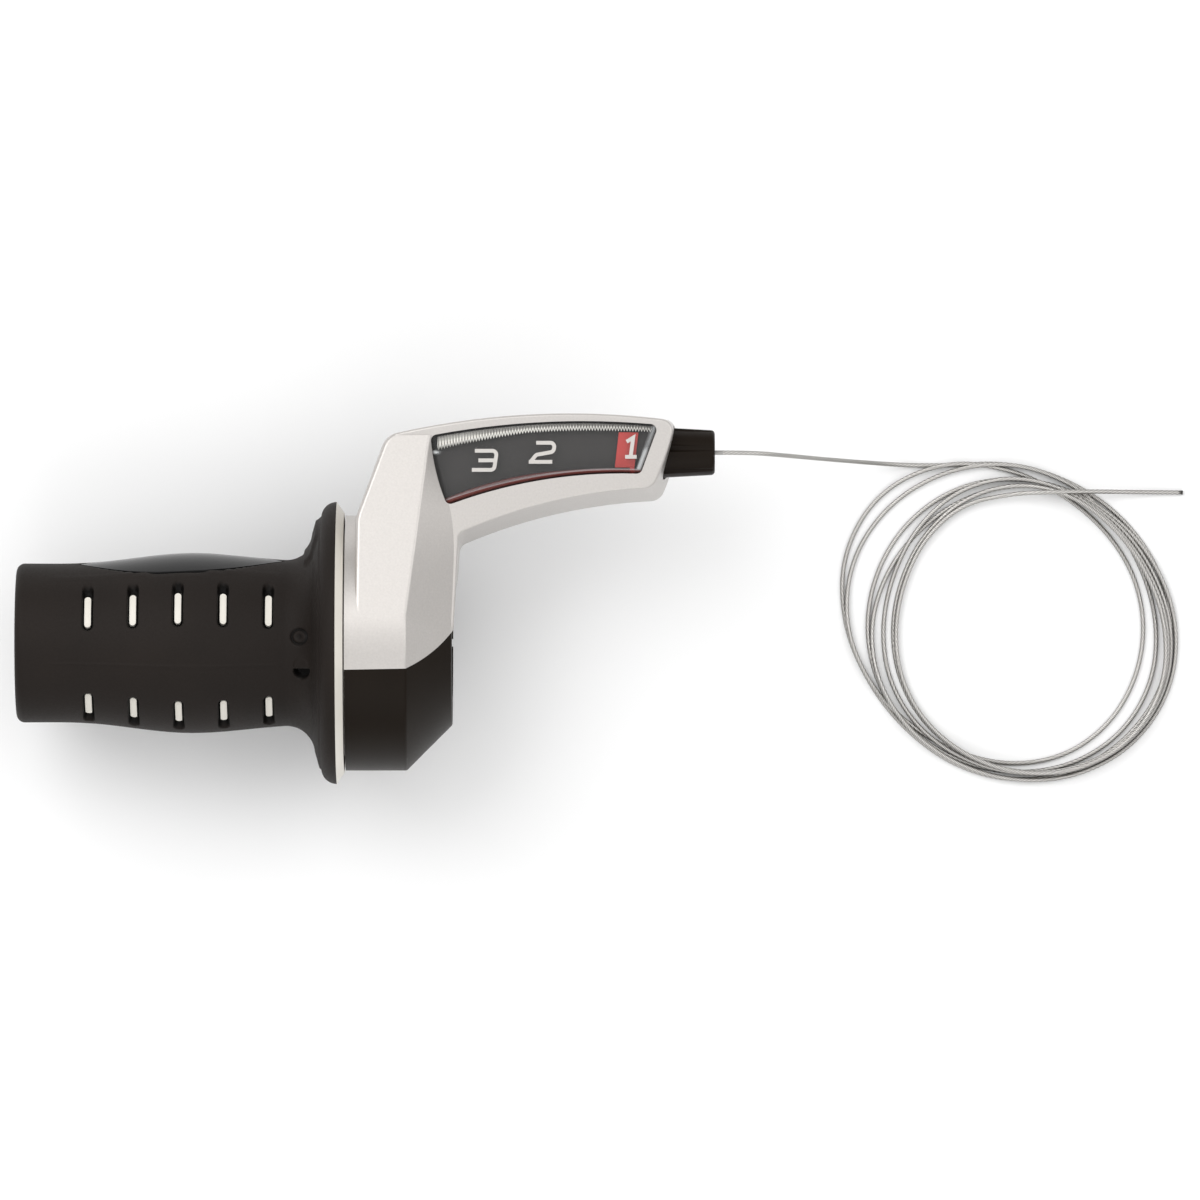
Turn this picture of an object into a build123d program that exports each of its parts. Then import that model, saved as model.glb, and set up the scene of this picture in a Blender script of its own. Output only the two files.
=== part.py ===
from build123d import *
from math import acos, asin, atan2, cos, degrees, radians, sin, sqrt, tan
import os

os.makedirs("parts", exist_ok=True)

# Frame: X runs along the handlebar towards the rider's stem, Y forward, Z up.
# The origin is on the bar axis at the clamp's inboard end face. Sizes are in mm.

# Handlebar and fits
BAR_DIAMETER = 22.2
CLAMP_FIT = 0.1
TUBE_FIT = 0.35
RUN_GAP = 0.3
SEAT_GAP = 0.1
JOURNAL_FIT = 0.1
BAR_R = BAR_DIAMETER / 2
CLAMP_R = BAR_R + CLAMP_FIT
TUBE_BORE_R = BAR_R + TUBE_FIT

# Housing round the bar
HOUSING_R = 25.5
HOUSING_LENGTH = 21.3
SHELL = 2.0
CONE_LENGTH = 9.1
CONE_DROP = 9.1
CONE_EDGE = 0.8
BULKHEAD = 1.6
CLIP_SPACE = 2.0
COLLAR_LENGTH = 7.8
CHAMBER_END = COLLAR_LENGTH + CLIP_SPACE + BULKHEAD
CHAMBER_R = HOUSING_R - SHELL
CONE_END_R = HOUSING_R - CONE_DROP
CORE_R = CONE_END_R - 1.4

# Twist tube: wall, nose that runs in the bulkhead, flange ring and spool
TUBE_WALL = 1.55
TUBE_R = TUBE_BORE_R + TUBE_WALL
NOSE_WALL = 1.95
NOSE_R = TUBE_BORE_R + NOSE_WALL
BEARING_R = NOSE_R + JOURNAL_FIT
FLANGE_R = 28.2
RING_WIDTH = 1.5
RING_TAPER = 2.2
RING_END = -HOUSING_LENGTH - RUN_GAP
RING_START = RING_END - RING_WIDTH
SPOOL_END = -CHAMBER_END - RUN_GAP
SPACER_R = CHAMBER_R - 1.0
RIM_R = CHAMBER_R - 3.0
DETENT_R = CHAMBER_R - 4.2
DETENT_DEPTH = 0.9
LEAF = 0.5
DETENT_WIDTH = 3.0
DETENT_START = RING_END + 0.7
GROOVE_WIDTH = 1.8
RIM_WIDTH = 0.6
LINE_GROOVE_START = DETENT_START + DETENT_WIDTH + RIM_WIDTH
CABLE_GROOVE_START = LINE_GROOVE_START + GROOVE_WIDTH + RIM_WIDTH
LINE_X = LINE_GROOVE_START + GROOVE_WIDTH / 2
CABLE_X = CABLE_GROOVE_START + GROOVE_WIDTH / 2
CLIP_THICKNESS = 0.9
CLIP_GROOVE_R = NOSE_R - 1.0
CLIP_R = CLIP_GROOVE_R + 3.3
CLIP_START = -CHAMBER_END + BULKHEAD + RUN_GAP
CLIP_SPACE_R = CLIP_R + 0.8
TUBE_END = -COLLAR_LENGTH - RUN_GAP

# Twist, cable and indicator travel
GRIP_TWIST = 90.0
CLICKS = 8
INDICATOR_SWEEP = 10.67
CABLE_DIAMETER = 0.9
CABLE_R = CABLE_DIAMETER / 2
CABLE_SPOOL_R = 15.2
LINE_DIAMETER = 0.8
HEAD_R = 2.1
HEAD_LENGTH = 4.4
HEAD_ANGLE = 140.0

# Rubber grip
GRIP_LENGTH = 87.1
GRIP_END_R = 15.9
GRIP_SWELL_R = 18.0
GRIP_NECK_R = 16.6
GRIP_END = -GRIP_LENGTH
SLOT_PITCH = 9.0
SLOT_COUNT = 5
SLOT_FROM_END = 32.6
SLOT_MID = GRIP_END + SLOT_FROM_END
SLOT_LENGTH = 8.4
SLOT_WIDTH = 2.1
BAR_LENGTH = 6.6
BAR_WIDTH = 1.3
BAR_SINK = 0.9
ROW_START = 24.5
ROW_PITCH = 79.0
ROW_COUNT = 4
SLOT_ROWS = [ROW_START - ROW_PITCH * row for row in range(ROW_COUNT)]
INLAY_ANGLE = 79
INLAY_LENGTH = 40.4
INLAY_WIDTH = 15.6
INLAY_DEPTH = 0.8

# Arm with the window
ARM_TOP = 16.0
ARM_FLOOR = 1.5
ARM_FLARE = 2.5
ARM_LEFT = 19.3
ARM_LENGTH = 44.6
ARM_REACH = 45.4
ARM_WALL = 1.0
TOP_WALL = 1.5
ARM_EDGE = 0.5
END_WALL = 3.0
ROOT_END = 2.0
CUT = 60.0
PLATE = 1.4
PLATE_TOP = ARM_FLOOR + PLATE
WINDOW_ARC = 160.0
WINDOW_APEX_X = 26.0
WINDOW_LEFT = -4.2
WINDOW_RIGHT = ARM_LENGTH - 3.4
WINDOW_APEX_Y = ARM_REACH - 1.2
WINDOW_CORNER = 1.2
CAVITY_TOP = ARM_TOP - TOP_WALL
PASSAGE_WIDTH = 9.0
PASSAGE_DEPTH = 13.6
LENS_TOP = ARM_TOP - 0.1
LENS_BOTTOM = ARM_TOP - 1.4
STRIP_DEPTH = 0.7
STRIP_TEETH = 72
PRINT_DEPTH = 0.15
PRINT_STROKE = 0.75
PRINT_CORNER = 0.8
MARKER_TOP = LENS_BOTTOM - STRIP_DEPTH - RUN_GAP
MARKER_DEPTH = 0.6
DIAL_TOP = MARKER_TOP - MARKER_DEPTH - RUN_GAP
DIAL_DEPTH = 1.0
DIAL_FLOOR = DIAL_TOP - DIAL_DEPTH
DIAL_MARGIN = 3.0
ROOM_TOP = DIAL_FLOOR - RUN_GAP

# Red marker: it swings about a far centre on the arc of the window
MARKER_INSET = 9.8
MARKER_X = ARM_LENGTH - MARKER_INSET
MARKER_Y = ARM_REACH - 6.9
MARKER_WIDTH = 3.9
MARKER_HEIGHT = 7.0
MARKER_SLANT = 0.8
TRACK_X = MARKER_X - 1.8
TRACK_R = 153.5
TRACK_Y = MARKER_Y - TRACK_R
LINE_TRACK_R = TRACK_R - 4.1
LINE_Z = MARKER_TOP - MARKER_DEPTH / 2
LINE_RUN = 12.0
LINE_DIP_R = 70.0
LINE_DIP = 21.0
LUG_WIDTH = 0.9
LINE_BEND = 8.0
LINE_SPOOL_R = LINE_TRACK_R * INDICATOR_SWEEP / GRIP_TWIST

# Barrel adjuster
KNOB_Y = ARM_REACH - 7.4
KNOB_Z = 7.5
KNOB_START = ARM_LENGTH - 2.4
KNOB_LENGTH = 10.2
KNOB_R = 5.0
KNOB_END_R = 4.45
FLUTES = 6
FLUTE_R = 0.8
THREAD_R = 2.5
THREAD_LENGTH = 7.7
INSERT_R = THREAD_R + 0.65
INSERT_LENGTH = 7.6
SOCKET_R = 2.6
SOCKET_DEPTH = 5.0
SPRING_WIRE = 0.6
SPRING_R = THREAD_R + 0.5 + SPRING_WIRE / 2
SPRING_POCKET_R = SPRING_R + SPRING_WIRE / 2 + RUN_GAP
SPRING_DEPTH = 3.4
SPRING_TURNS = 4
KNOB_FACE = KNOB_START - RUN_GAP
KNOB_END = KNOB_START + KNOB_LENGTH
INSERT_START = KNOB_FACE - INSERT_LENGTH
GUIDE_R = 1.2
GUIDE_BEND = 18.0
WIRE_HOLE_R = CABLE_R + RUN_GAP

# Clamp screw, nut and small screws
BOLT_R = 2.0
BOLT_HEAD_R = 3.2
BOLT_HEAD = 3.0
BOLT_X = -COLLAR_LENGTH / 2
BOLT_Z = -CLAMP_R - BOLT_R - 1.5
BOLT_SEAT = 7.0
NUT_SIZE = 6.2
NUT_DEPTH = 3.0
CLAMP_SLOT = 1.5
SCREW_R = 1.0
SCREW_HEAD_R = 2.0
SCREW_HEAD = 1.4
SCREW_LENGTH = 9.0
SCREW_TIP = 0.4
SCREW_SEAT = -4.0

# Free cable: it hangs from the adjuster to the surface and lies there in a loose coil
FLOOR_Z = -FLANGE_R
COIL_X = 112.7
COIL_Y = 3.7
COIL_HALF_X = 34.1
COIL_HALF_Y = 32.8
COIL_HOLE_X = 26.0
COIL_HOLE_Y = 26.4
COIL_HEIGHT = 4.2
LEAD_START = KNOB_END + 1.6


def window_top(x):
    return WINDOW_APEX_Y - WINDOW_ARC + sqrt(WINDOW_ARC**2 - (x - WINDOW_APEX_X) ** 2)


def grip_curve(drop):
    return Spline(
        (GRIP_END + 1.6, GRIP_END_R - drop),
        (GRIP_END + 15, GRIP_END_R + 0.2 - drop),
        (GRIP_END + 34, GRIP_SWELL_R - drop),
        (RING_START - 10.2, GRIP_NECK_R - drop),
        tangents=((1, 0), (1, -0.06)),
    )


def row_plane(angle, x):
    lean = (0, sin(radians(angle)), cos(radians(angle)))
    return Plane(origin=(x, 0, 0), x_dir=(1, 0, 0), z_dir=lean)


def bend_radii(points):
    radii = []
    for before, corner, after in zip(points, points[1:], points[2:]):
        arriving = Vector(*corner) - Vector(*before)
        leaving = Vector(*after) - Vector(*corner)
        turn = radians(arriving.get_angle(leaving))
        radii.append(0.45 * min(arriving.length, leaving.length) / tan(turn / 2))
    return radii


# Outer form of the housing: a drum with a cone towards the stem
with BuildPart() as housing_form:
    with BuildSketch() as housing_half:
        with BuildLine():
            Polyline(
                (-HOUSING_LENGTH, 0),
                (-HOUSING_LENGTH, HOUSING_R),
                (-CONE_LENGTH, HOUSING_R),
                (0, CONE_END_R),
                (0, 0),
                close=True,
            )
        make_face()
        fillet(housing_half.vertices().group_by(Axis.Y)[-1].sort_by(Axis.X)[-1], CONE_EDGE)
        fillet(housing_half.vertices().group_by(Axis.X)[-1].sort_by(Axis.Y)[-1], CONE_EDGE)
    revolve(axis=Axis.X)

# What turns inside the housing and the bar itself
with BuildPart() as housing_bore:
    with BuildSketch():
        with BuildLine():
            Polyline(
                (-HOUSING_LENGTH - 1, 0),
                (-HOUSING_LENGTH - 1, CHAMBER_R),
                (-CHAMBER_END, CHAMBER_R),
                (-CHAMBER_END, BEARING_R),
                (-CHAMBER_END + BULKHEAD, BEARING_R),
                (-CHAMBER_END + BULKHEAD, CLIP_SPACE_R),
                (-COLLAR_LENGTH, CLIP_SPACE_R),
                (-COLLAR_LENGTH, CLAMP_R),
                (1, CLAMP_R),
                (1, 0),
                close=True,
            )
        make_face()
    revolve(axis=Axis.X)

# The zone that belongs to the silver cover: in front of the border seen from above, above the axis
with BuildPart() as cover_zone:
    with BuildSketch():
        with BuildLine():
            border = Line((-CUT, -5.98), (-CONE_LENGTH, -5.0))
            bow = ThreePointArc(border @ 1, (-CONE_LENGTH + 5.4, -1.6), (1.0, 3.6))
            Polyline(bow @ 1, (CUT, 3.6), (CUT, CUT), (-CUT, CUT), border @ 0)
        make_face()
    extrude(amount=CUT)

# Plan of the arm at its top face and, wider towards the rider, at its foot
with BuildSketch() as arm_plan:
    with BuildLine():
        left_wall = Line((-ARM_LEFT, 0), (-ARM_LEFT + 0.3, HOUSING_R - 0.5))
        left_slope = Line(left_wall @ 1, (-ARM_LEFT + 6.4, ARM_REACH - 4.0))
        front = ThreePointArc(left_slope @ 1, (0.3 * ARM_LENGTH, ARM_REACH), (ARM_LENGTH, ARM_REACH - 1.1))
        end = ThreePointArc(
            front @ 1,
            (ARM_LENGTH - 1.9, ARM_REACH - 7.8),
            (ARM_LENGTH - 4.6, ARM_REACH - 14.5),
        )
        rear = ThreePointArc(end @ 1, (14.5, ARM_REACH - 18.7), (1.4, ARM_REACH - 23.5))
        Polyline(rear @ 1, (0.2, 0), left_wall @ 0)
    make_face()
    fillet(arm_plan.vertices().sort_by_distance(left_slope @ 0)[0], 6.0)
    fillet(arm_plan.vertices().sort_by_distance(left_slope @ 1)[0], 4.0)
    fillet(arm_plan.vertices().sort_by_distance(front @ 1)[0], 2.5)
    fillet(arm_plan.vertices().sort_by_distance(end @ 1)[0], 3.0)
    fillet(arm_plan.vertices().sort_by_distance(rear @ 1)[0], 2.0)

with BuildSketch(Plane.XY.offset(ARM_FLOOR)) as arm_foot:
    with BuildLine():
        left_wall = Line((-ARM_LEFT - 0.4, 0), (-ARM_LEFT - 0.1, HOUSING_R - 0.5))
        left_slope = Line(left_wall @ 1, (-ARM_LEFT + 6.0, ARM_REACH - 3.9))
        front = ThreePointArc(
            left_slope @ 1,
            (0.3 * ARM_LENGTH, ARM_REACH + 0.1),
            (ARM_LENGTH, ARM_REACH - 1.0),
        )
        end = ThreePointArc(
            front @ 1,
            (ARM_LENGTH - 0.2, ARM_REACH - 7.8),
            (ARM_LENGTH - 3.2, ARM_REACH - 14.5 - ARM_FLARE),
        )
        rear = ThreePointArc(
            end @ 1,
            (14.8, ARM_REACH - 18.7 - ARM_FLARE),
            (1.6, ARM_REACH - 23.5 - ARM_FLARE),
        )
        Polyline(rear @ 1, (0.2, 0), left_wall @ 0)
    make_face()
    fillet(arm_foot.vertices().sort_by_distance(left_slope @ 0)[0], 6.0)
    fillet(arm_foot.vertices().sort_by_distance(left_slope @ 1)[0], 4.0)
    fillet(arm_foot.vertices().sort_by_distance(front @ 1)[0], 2.5)
    fillet(arm_foot.vertices().sort_by_distance(end @ 1)[0], 3.0)
    fillet(arm_foot.vertices().sort_by_distance(rear @ 1)[0], 2.0)

with BuildPart() as arm_form:
    with BuildSketch(Plane.XY.offset(ARM_FLOOR)):
        add(arm_foot.sketch_local)
    with BuildSketch(Plane.XY.offset(ARM_TOP)):
        add(arm_plan.sketch_local)
    loft(ruled=True)
    fillet(arm_form.faces().sort_by(Axis.Z)[-1].edges(), ARM_EDGE)

# The arm's root: its top leaves the drum along a tangent and falls to the window's level
root_front = (ARM_REACH - 4.0, ARM_TOP + 0.3)
root_far = sqrt(root_front[0] ** 2 + root_front[1] ** 2)
root_tilt = asin(HOUSING_R / root_far) - atan2(root_front[1], root_front[0])
root_start = (HOUSING_R * sin(root_tilt), HOUSING_R * cos(root_tilt))
root_plane = Plane(origin=(0, *root_start), z_dir=(0, sin(root_tilt), cos(root_tilt)))


def root_height(y):
    return (HOUSING_R - y * sin(root_tilt)) / cos(root_tilt)


# A twisted facet joins the ridge along the root's top with the edge along the window
edge_points = [
    Vector(-ARM_EDGE, -1.0, CONE_END_R + ARM_EDGE),
    Vector(-0.2, 6.0, ARM_TOP + 0.5),
    Vector(0.2, 13.0, ARM_TOP + 0.15),
    Vector(0.4, ARM_REACH - 25.4, ARM_TOP),
    Vector(WINDOW_LEFT + 3.8, ARM_REACH - 18.4, ARM_TOP),
    Vector(WINDOW_LEFT + 1.5, ARM_REACH - 11.4, ARM_TOP),
    Vector(WINDOW_LEFT + 0.3, ARM_REACH - 3.5, ARM_TOP),
]
ridge_lean = (WINDOW_LEFT - 0.2 + CONE_LENGTH) / (ARM_REACH - 3.5 - root_start[0])
ridge_points = []
for edge in edge_points:
    ridge_x = -CONE_LENGTH + ridge_lean * max(0, edge.Y - root_start[0])
    ridge_points.append(Vector(ridge_x, edge.Y, min(HOUSING_R, root_height(edge.Y))))
facet_ways = [edge - ridge for edge, ridge in zip(edge_points, ridge_points)]
with BuildLine() as facet_upper:
    Spline(*[ridge - way * 0.2 for ridge, way in zip(ridge_points, facet_ways)])
with BuildLine() as facet_lower:
    Spline(*[edge + way * 0.2 for edge, way in zip(edge_points, facet_ways)])
facet = Face.make_surface_from_curves(facet_upper.edge(), facet_lower.edge())

with BuildPart() as root_form:
    with BuildSketch(Plane.XY.offset(ARM_TOP - 2)):
        with BuildLine():
            border = Spline(*[(edge.X, edge.Y) for edge in edge_points])
            Polyline(border @ 1, (-CUT, (border @ 1).Y), (-CUT, (border @ 0).Y), border @ 0)
        make_face()
        add(arm_plan.sketch_local, mode=Mode.INTERSECT)
    extrude(amount=HOUSING_R)
    with BuildSketch(Plane.YZ):
        with BuildLine():
            drum = CenterArc((0, 0), HOUSING_R, 90, -degrees(root_tilt))
            Polyline(drum @ 1, root_front, (root_front[0], 0), (0, 0), drum @ 0)
        make_face()
    extrude(amount=CUT, both=True, mode=Mode.INTERSECT)
    extrude(facet, amount=HOUSING_R, dir=(0, 0, 1), mode=Mode.SUBTRACT)
    fillet(root_form.faces().filter_by(root_plane).edges().sort_by(Axis.Y)[1:-1], CONE_EDGE)

# Hollow of the arm: the plate's seat, the cable's room, the dial's room and the way to the spool
with BuildSketch() as cavity_plan:
    offset(arm_plan.sketch.faces(), amount=-ARM_WALL)
    with Locations((-CUT / 2 + ROOT_END, 0)):
        Rectangle(CUT, 2 * (HOUSING_R + 0.4), mode=Mode.SUBTRACT)

with BuildPart() as arm_hollow:
    with BuildSketch(Plane.XY.offset(ARM_FLOOR - 1)):
        add(cavity_plan.sketch_local)
    extrude(amount=PLATE + 1)
    with BuildSketch(Plane.XY.offset(ARM_FLOOR)):
        add(cavity_plan.sketch_local)
        with Locations((INSERT_START + CUT / 2, ARM_REACH)):
            Rectangle(CUT, CUT, mode=Mode.SUBTRACT)
    extrude(amount=ROOM_TOP - ARM_FLOOR)
    with BuildSketch(Plane.XY.offset(ROOM_TOP)):
        add(cavity_plan.sketch_local)
        with Locations((ARM_LENGTH - END_WALL + CUT / 2, ARM_REACH)):
            Rectangle(CUT, CUT, mode=Mode.SUBTRACT)
    extrude(amount=CAVITY_TOP - ROOM_TOP)
    with BuildSketch(Plane.XY.offset(KNOB_Z + 0.9)):
        with Locations((LINE_X + 3.0, HOUSING_R + 0.6)):
            Rectangle(PASSAGE_WIDTH, PASSAGE_DEPTH, align=(Align.CENTER, Align.MAX))
    extrude(amount=CAVITY_TOP - KNOB_Z - 0.9)

# The filament's way: along the track, down in a closer bow, then straight on and round to the spool
line_leave = degrees(asin(LINE_RUN / LINE_TRACK_R))
dip_shift = LINE_TRACK_R - LINE_DIP_R
dip_x = TRACK_X - dip_shift * sin(radians(line_leave))
dip_y = TRACK_Y + dip_shift * cos(radians(line_leave))
line_gate = Vector(
    dip_x - LINE_DIP_R * sin(radians(LINE_DIP)),
    dip_y + LINE_DIP_R * cos(radians(LINE_DIP)),
    LINE_Z,
)
line_slope = tan(radians(LINE_DIP))
line_corner = Vector(LINE_X, line_gate.Y - (line_gate.X - LINE_X) * line_slope, LINE_Z)
line_reach = sqrt(line_corner.Y**2 + line_corner.Z**2)
line_angle = atan2(line_corner.Z, line_corner.Y) + acos(LINE_SPOOL_R / line_reach)
line_touch = Vector(LINE_X, LINE_SPOOL_R * cos(line_angle), LINE_SPOOL_R * sin(line_angle))

with BuildPart() as line_room:
    with BuildLine() as room_path:
        FilletPolyline(line_gate, line_corner, line_touch, radius=LINE_BEND)
    with BuildSketch(Plane(origin=room_path.line @ 0, z_dir=room_path.line % 0)):
        Circle(LINE_DIAMETER / 2 + 2 * RUN_GAP)
    sweep(path=room_path.line)

# Window opening seen from above
with BuildSketch() as window_plan:
    with BuildLine():
        upper = ThreePointArc(
            (WINDOW_LEFT, window_top(WINDOW_LEFT)),
            (WINDOW_APEX_X, WINDOW_APEX_Y),
            (WINDOW_RIGHT, window_top(WINDOW_RIGHT)),
        )
        right = Line(upper @ 1, (WINDOW_RIGHT - 3.6, ARM_REACH - 11.7))
        lower = ThreePointArc(right @ 1, (17.5, ARM_REACH - 13.0), (WINDOW_LEFT + 3.3, ARM_REACH - 18.0))
        ThreePointArc(lower @ 1, (WINDOW_LEFT + 1.0, ARM_REACH - 11.0), upper @ 0)
    make_face()
    fillet(window_plan.vertices(), WINDOW_CORNER)

knob_plane = Plane(origin=(0, KNOB_Y, KNOB_Z), x_dir=(0, 1, 0), z_dir=(1, 0, 0))
cover_screw_places = [(-4.0, CORE_R + 4.0), (-CHAMBER_END + 2.2, CORE_R + 4.0)]
plate_screw_places = [(-ARM_LEFT + 8.6, ARM_REACH - 7.2), (INSERT_START + 3.6, ARM_REACH - 12.6)]

with BuildPart() as core_form:
    with BuildSketch(Plane.YZ.offset(-CHAMBER_END)):
        Circle(CORE_R)
    extrude(amount=CHAMBER_END + 1)

with BuildPart() as housing_cover:
    add(housing_form.part)
    add(arm_form.part)
    add(root_form.part)
    add(cover_zone.part, mode=Mode.INTERSECT)
    add(housing_bore.part, mode=Mode.SUBTRACT)
    with BuildSketch(Plane.YZ.offset(-CHAMBER_END)):
        Circle(CORE_R + SEAT_GAP)
    extrude(amount=CHAMBER_END + 1, mode=Mode.SUBTRACT)
    add(arm_hollow.part, mode=Mode.SUBTRACT)
    add(line_room.part, mode=Mode.SUBTRACT)
    with BuildSketch(Plane.XY.offset(PLATE_TOP)):
        with Locations(plate_screw_places[0]):
            Circle(2.2)
    extrude(amount=CAVITY_TOP - PLATE_TOP)
    with BuildSketch(Plane.XY.offset(CAVITY_TOP - 0.5)):
        add(window_plan.sketch_local)
    extrude(amount=HOUSING_R, mode=Mode.SUBTRACT)
    with BuildSketch(knob_plane.offset(KNOB_FACE)):
        Circle(KNOB_R + 0.4)
    extrude(amount=10, mode=Mode.SUBTRACT)
    with BuildSketch(knob_plane.offset(INSERT_START)):
        Circle(INSERT_R)
    extrude(amount=INSERT_LENGTH, mode=Mode.SUBTRACT)
    with BuildSketch(Plane.XY):
        with Locations(*cover_screw_places):
            Circle(SCREW_R)
    extrude(amount=SCREW_LENGTH + SCREW_SEAT, mode=Mode.SUBTRACT)
    with BuildSketch(Plane.XY.offset(ARM_FLOOR)):
        with Locations(*plate_screw_places):
            Circle(SCREW_R)
    extrude(amount=SCREW_LENGTH, mode=Mode.SUBTRACT)
housing_cover.part.label = "housing_cover"
export_step(housing_cover.part, "parts/housing_cover.step")

# Black base: drum, bulkhead and clamp collar, cut away where the cover lies
bolt_plane = Plane(origin=(BOLT_X, 0, BOLT_Z), x_dir=(1, 0, 0), z_dir=(0, 1, 0))

with BuildPart() as cover_cut:
    add(cover_zone.part)
    add(core_form.part, mode=Mode.SUBTRACT)

with BuildPart() as housing_base:
    add(housing_form.part)
    add(cover_cut.part, mode=Mode.SUBTRACT)
    add(housing_bore.part, mode=Mode.SUBTRACT)
    with BuildSketch(Plane.XY.offset(-CLAMP_R + 1)):
        with Locations((-CHAMBER_END / 2 + BULKHEAD / 2, 0)):
            Rectangle(CHAMBER_END - BULKHEAD, CLAMP_SLOT)
    extrude(amount=-HOUSING_R, mode=Mode.SUBTRACT)
    with BuildSketch(Plane.XY.offset(-CLAMP_R - 1.3)):
        with Locations((-COLLAR_LENGTH - CLIP_SPACE / 2, 0)):
            Rectangle(CLIP_SPACE, 2 * HOUSING_R)
    extrude(amount=-HOUSING_R, mode=Mode.SUBTRACT)
    with BuildSketch(bolt_plane):
        Circle(BOLT_R + SEAT_GAP)
    extrude(amount=HOUSING_R, both=True, mode=Mode.SUBTRACT)
    with BuildSketch(bolt_plane.offset(-BOLT_SEAT)):
        Circle(BOLT_HEAD_R + 0.2)
    extrude(amount=-HOUSING_R, mode=Mode.SUBTRACT)
    with BuildSketch(bolt_plane.offset(BOLT_SEAT)):
        Rectangle(NUT_SIZE + 2 * SEAT_GAP, NUT_SIZE + 2 * SEAT_GAP)
    extrude(amount=HOUSING_R, mode=Mode.SUBTRACT)
    with BuildSketch(Plane.XY):
        with Locations(*cover_screw_places):
            Circle(SCREW_R + SEAT_GAP)
    extrude(amount=SCREW_SEAT, mode=Mode.SUBTRACT)
    with BuildSketch(Plane.XY.offset(SCREW_SEAT)):
        with Locations(*cover_screw_places):
            Circle(SCREW_HEAD_R + 0.2)
    extrude(amount=-HOUSING_R, mode=Mode.SUBTRACT)
housing_base.part.label = "housing_base"
export_step(housing_base.part, "parts/housing_base.step")

# Clamp screw with its hexagon socket, and the square nut
with BuildPart() as clamp_bolt:
    with BuildSketch(bolt_plane.offset(-BOLT_SEAT)):
        Circle(BOLT_R)
    extrude(amount=2 * BOLT_SEAT + NUT_DEPTH + 0.6)
    with BuildSketch(bolt_plane.offset(-BOLT_SEAT)):
        Circle(BOLT_HEAD_R)
    extrude(amount=-BOLT_HEAD)
    with BuildSketch(bolt_plane.offset(-BOLT_SEAT - BOLT_HEAD)):
        RegularPolygon(radius=1.73, side_count=6)
    extrude(amount=1.8, mode=Mode.SUBTRACT)
clamp_bolt.part.label = "clamp_bolt"
export_step(clamp_bolt.part, "parts/clamp_bolt.step")

with BuildPart() as clamp_nut:
    with BuildSketch(bolt_plane.offset(BOLT_SEAT)):
        Rectangle(NUT_SIZE, NUT_SIZE)
        Circle(BOLT_R, mode=Mode.SUBTRACT)
    extrude(amount=NUT_DEPTH)
clamp_nut.part.label = "clamp_nut"
export_step(clamp_nut.part, "parts/clamp_nut.step")

# Four small screws: two hold the cover to the base and two hold the arm's plate
screw_planes = [Plane(origin=(x, y, SCREW_SEAT)) for x, y in cover_screw_places]
screw_planes += [Plane(origin=(x, y, ARM_FLOOR)) for x, y in plate_screw_places]
screw_faces = [plane.offset(-SCREW_HEAD) for plane in screw_planes]

with BuildPart() as small_screws:
    with BuildSketch(*screw_planes):
        Circle(SCREW_R)
    extrude(amount=SCREW_LENGTH - SCREW_TIP)
    with BuildSketch(*screw_planes):
        Circle(SCREW_HEAD_R)
    extrude(amount=-SCREW_HEAD)
    with BuildSketch(*screw_faces):
        Rectangle(1.1 * SCREW_HEAD_R, 0.5 * SCREW_R)
        Rectangle(0.5 * SCREW_R, 1.1 * SCREW_HEAD_R)
    extrude(amount=0.6 * SCREW_HEAD, mode=Mode.SUBTRACT)
small_screws.part.label = "small_screws"
export_step(small_screws.part, "parts/small_screws.step")

# Plate that closes the arm from below, with two saddles for the cable guide
with BuildPart() as arm_plate:
    with BuildSketch(Plane.XY.offset(ARM_FLOOR)):
        offset(cavity_plan.sketch_local.faces(), amount=-SEAT_GAP)
        with Locations(*plate_screw_places):
            Circle(SCREW_R + SEAT_GAP, mode=Mode.SUBTRACT)
    extrude(amount=PLATE)
    with BuildSketch(Plane.XY.offset(PLATE_TOP)):
        with Locations((0.3 * INSERT_START, KNOB_Y), (0.75 * INSERT_START, KNOB_Y)):
            Rectangle(2.0, 2 * GUIDE_R + 2.4)
    extrude(amount=KNOB_Z - PLATE_TOP)
    with BuildSketch(knob_plane):
        Circle(GUIDE_R)
    extrude(amount=INSERT_START, mode=Mode.SUBTRACT)
arm_plate.part.label = "arm_plate"
export_step(arm_plate.part, "parts/arm_plate.step")

# Dial under the window: lens, ribbed strip, numbers, plate with the marker's track
with BuildPart() as window_lens:
    with BuildSketch(Plane.XY.offset(LENS_BOTTOM)):
        offset(window_plan.sketch_local.faces(), amount=-SEAT_GAP)
    extrude(amount=LENS_TOP - LENS_BOTTOM)
window_lens.part.label = "window_lens"
export_step(window_lens.part, "parts/window_lens.step")

strip_start = WINDOW_LEFT + 2.4
strip_pitch = (WINDOW_RIGHT - 2.4 - strip_start) / STRIP_TEETH
strip_teeth = []
for step in range(2 * STRIP_TEETH + 1):
    tooth_x = strip_start + step * strip_pitch / 2
    band = 2.6 - 1.3 * step / (2 * STRIP_TEETH)
    strip_teeth.append((tooth_x, window_top(tooth_x) - 0.4 - band + 0.5 * (step % 2)))
strip_end = strip_start + STRIP_TEETH * strip_pitch

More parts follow.
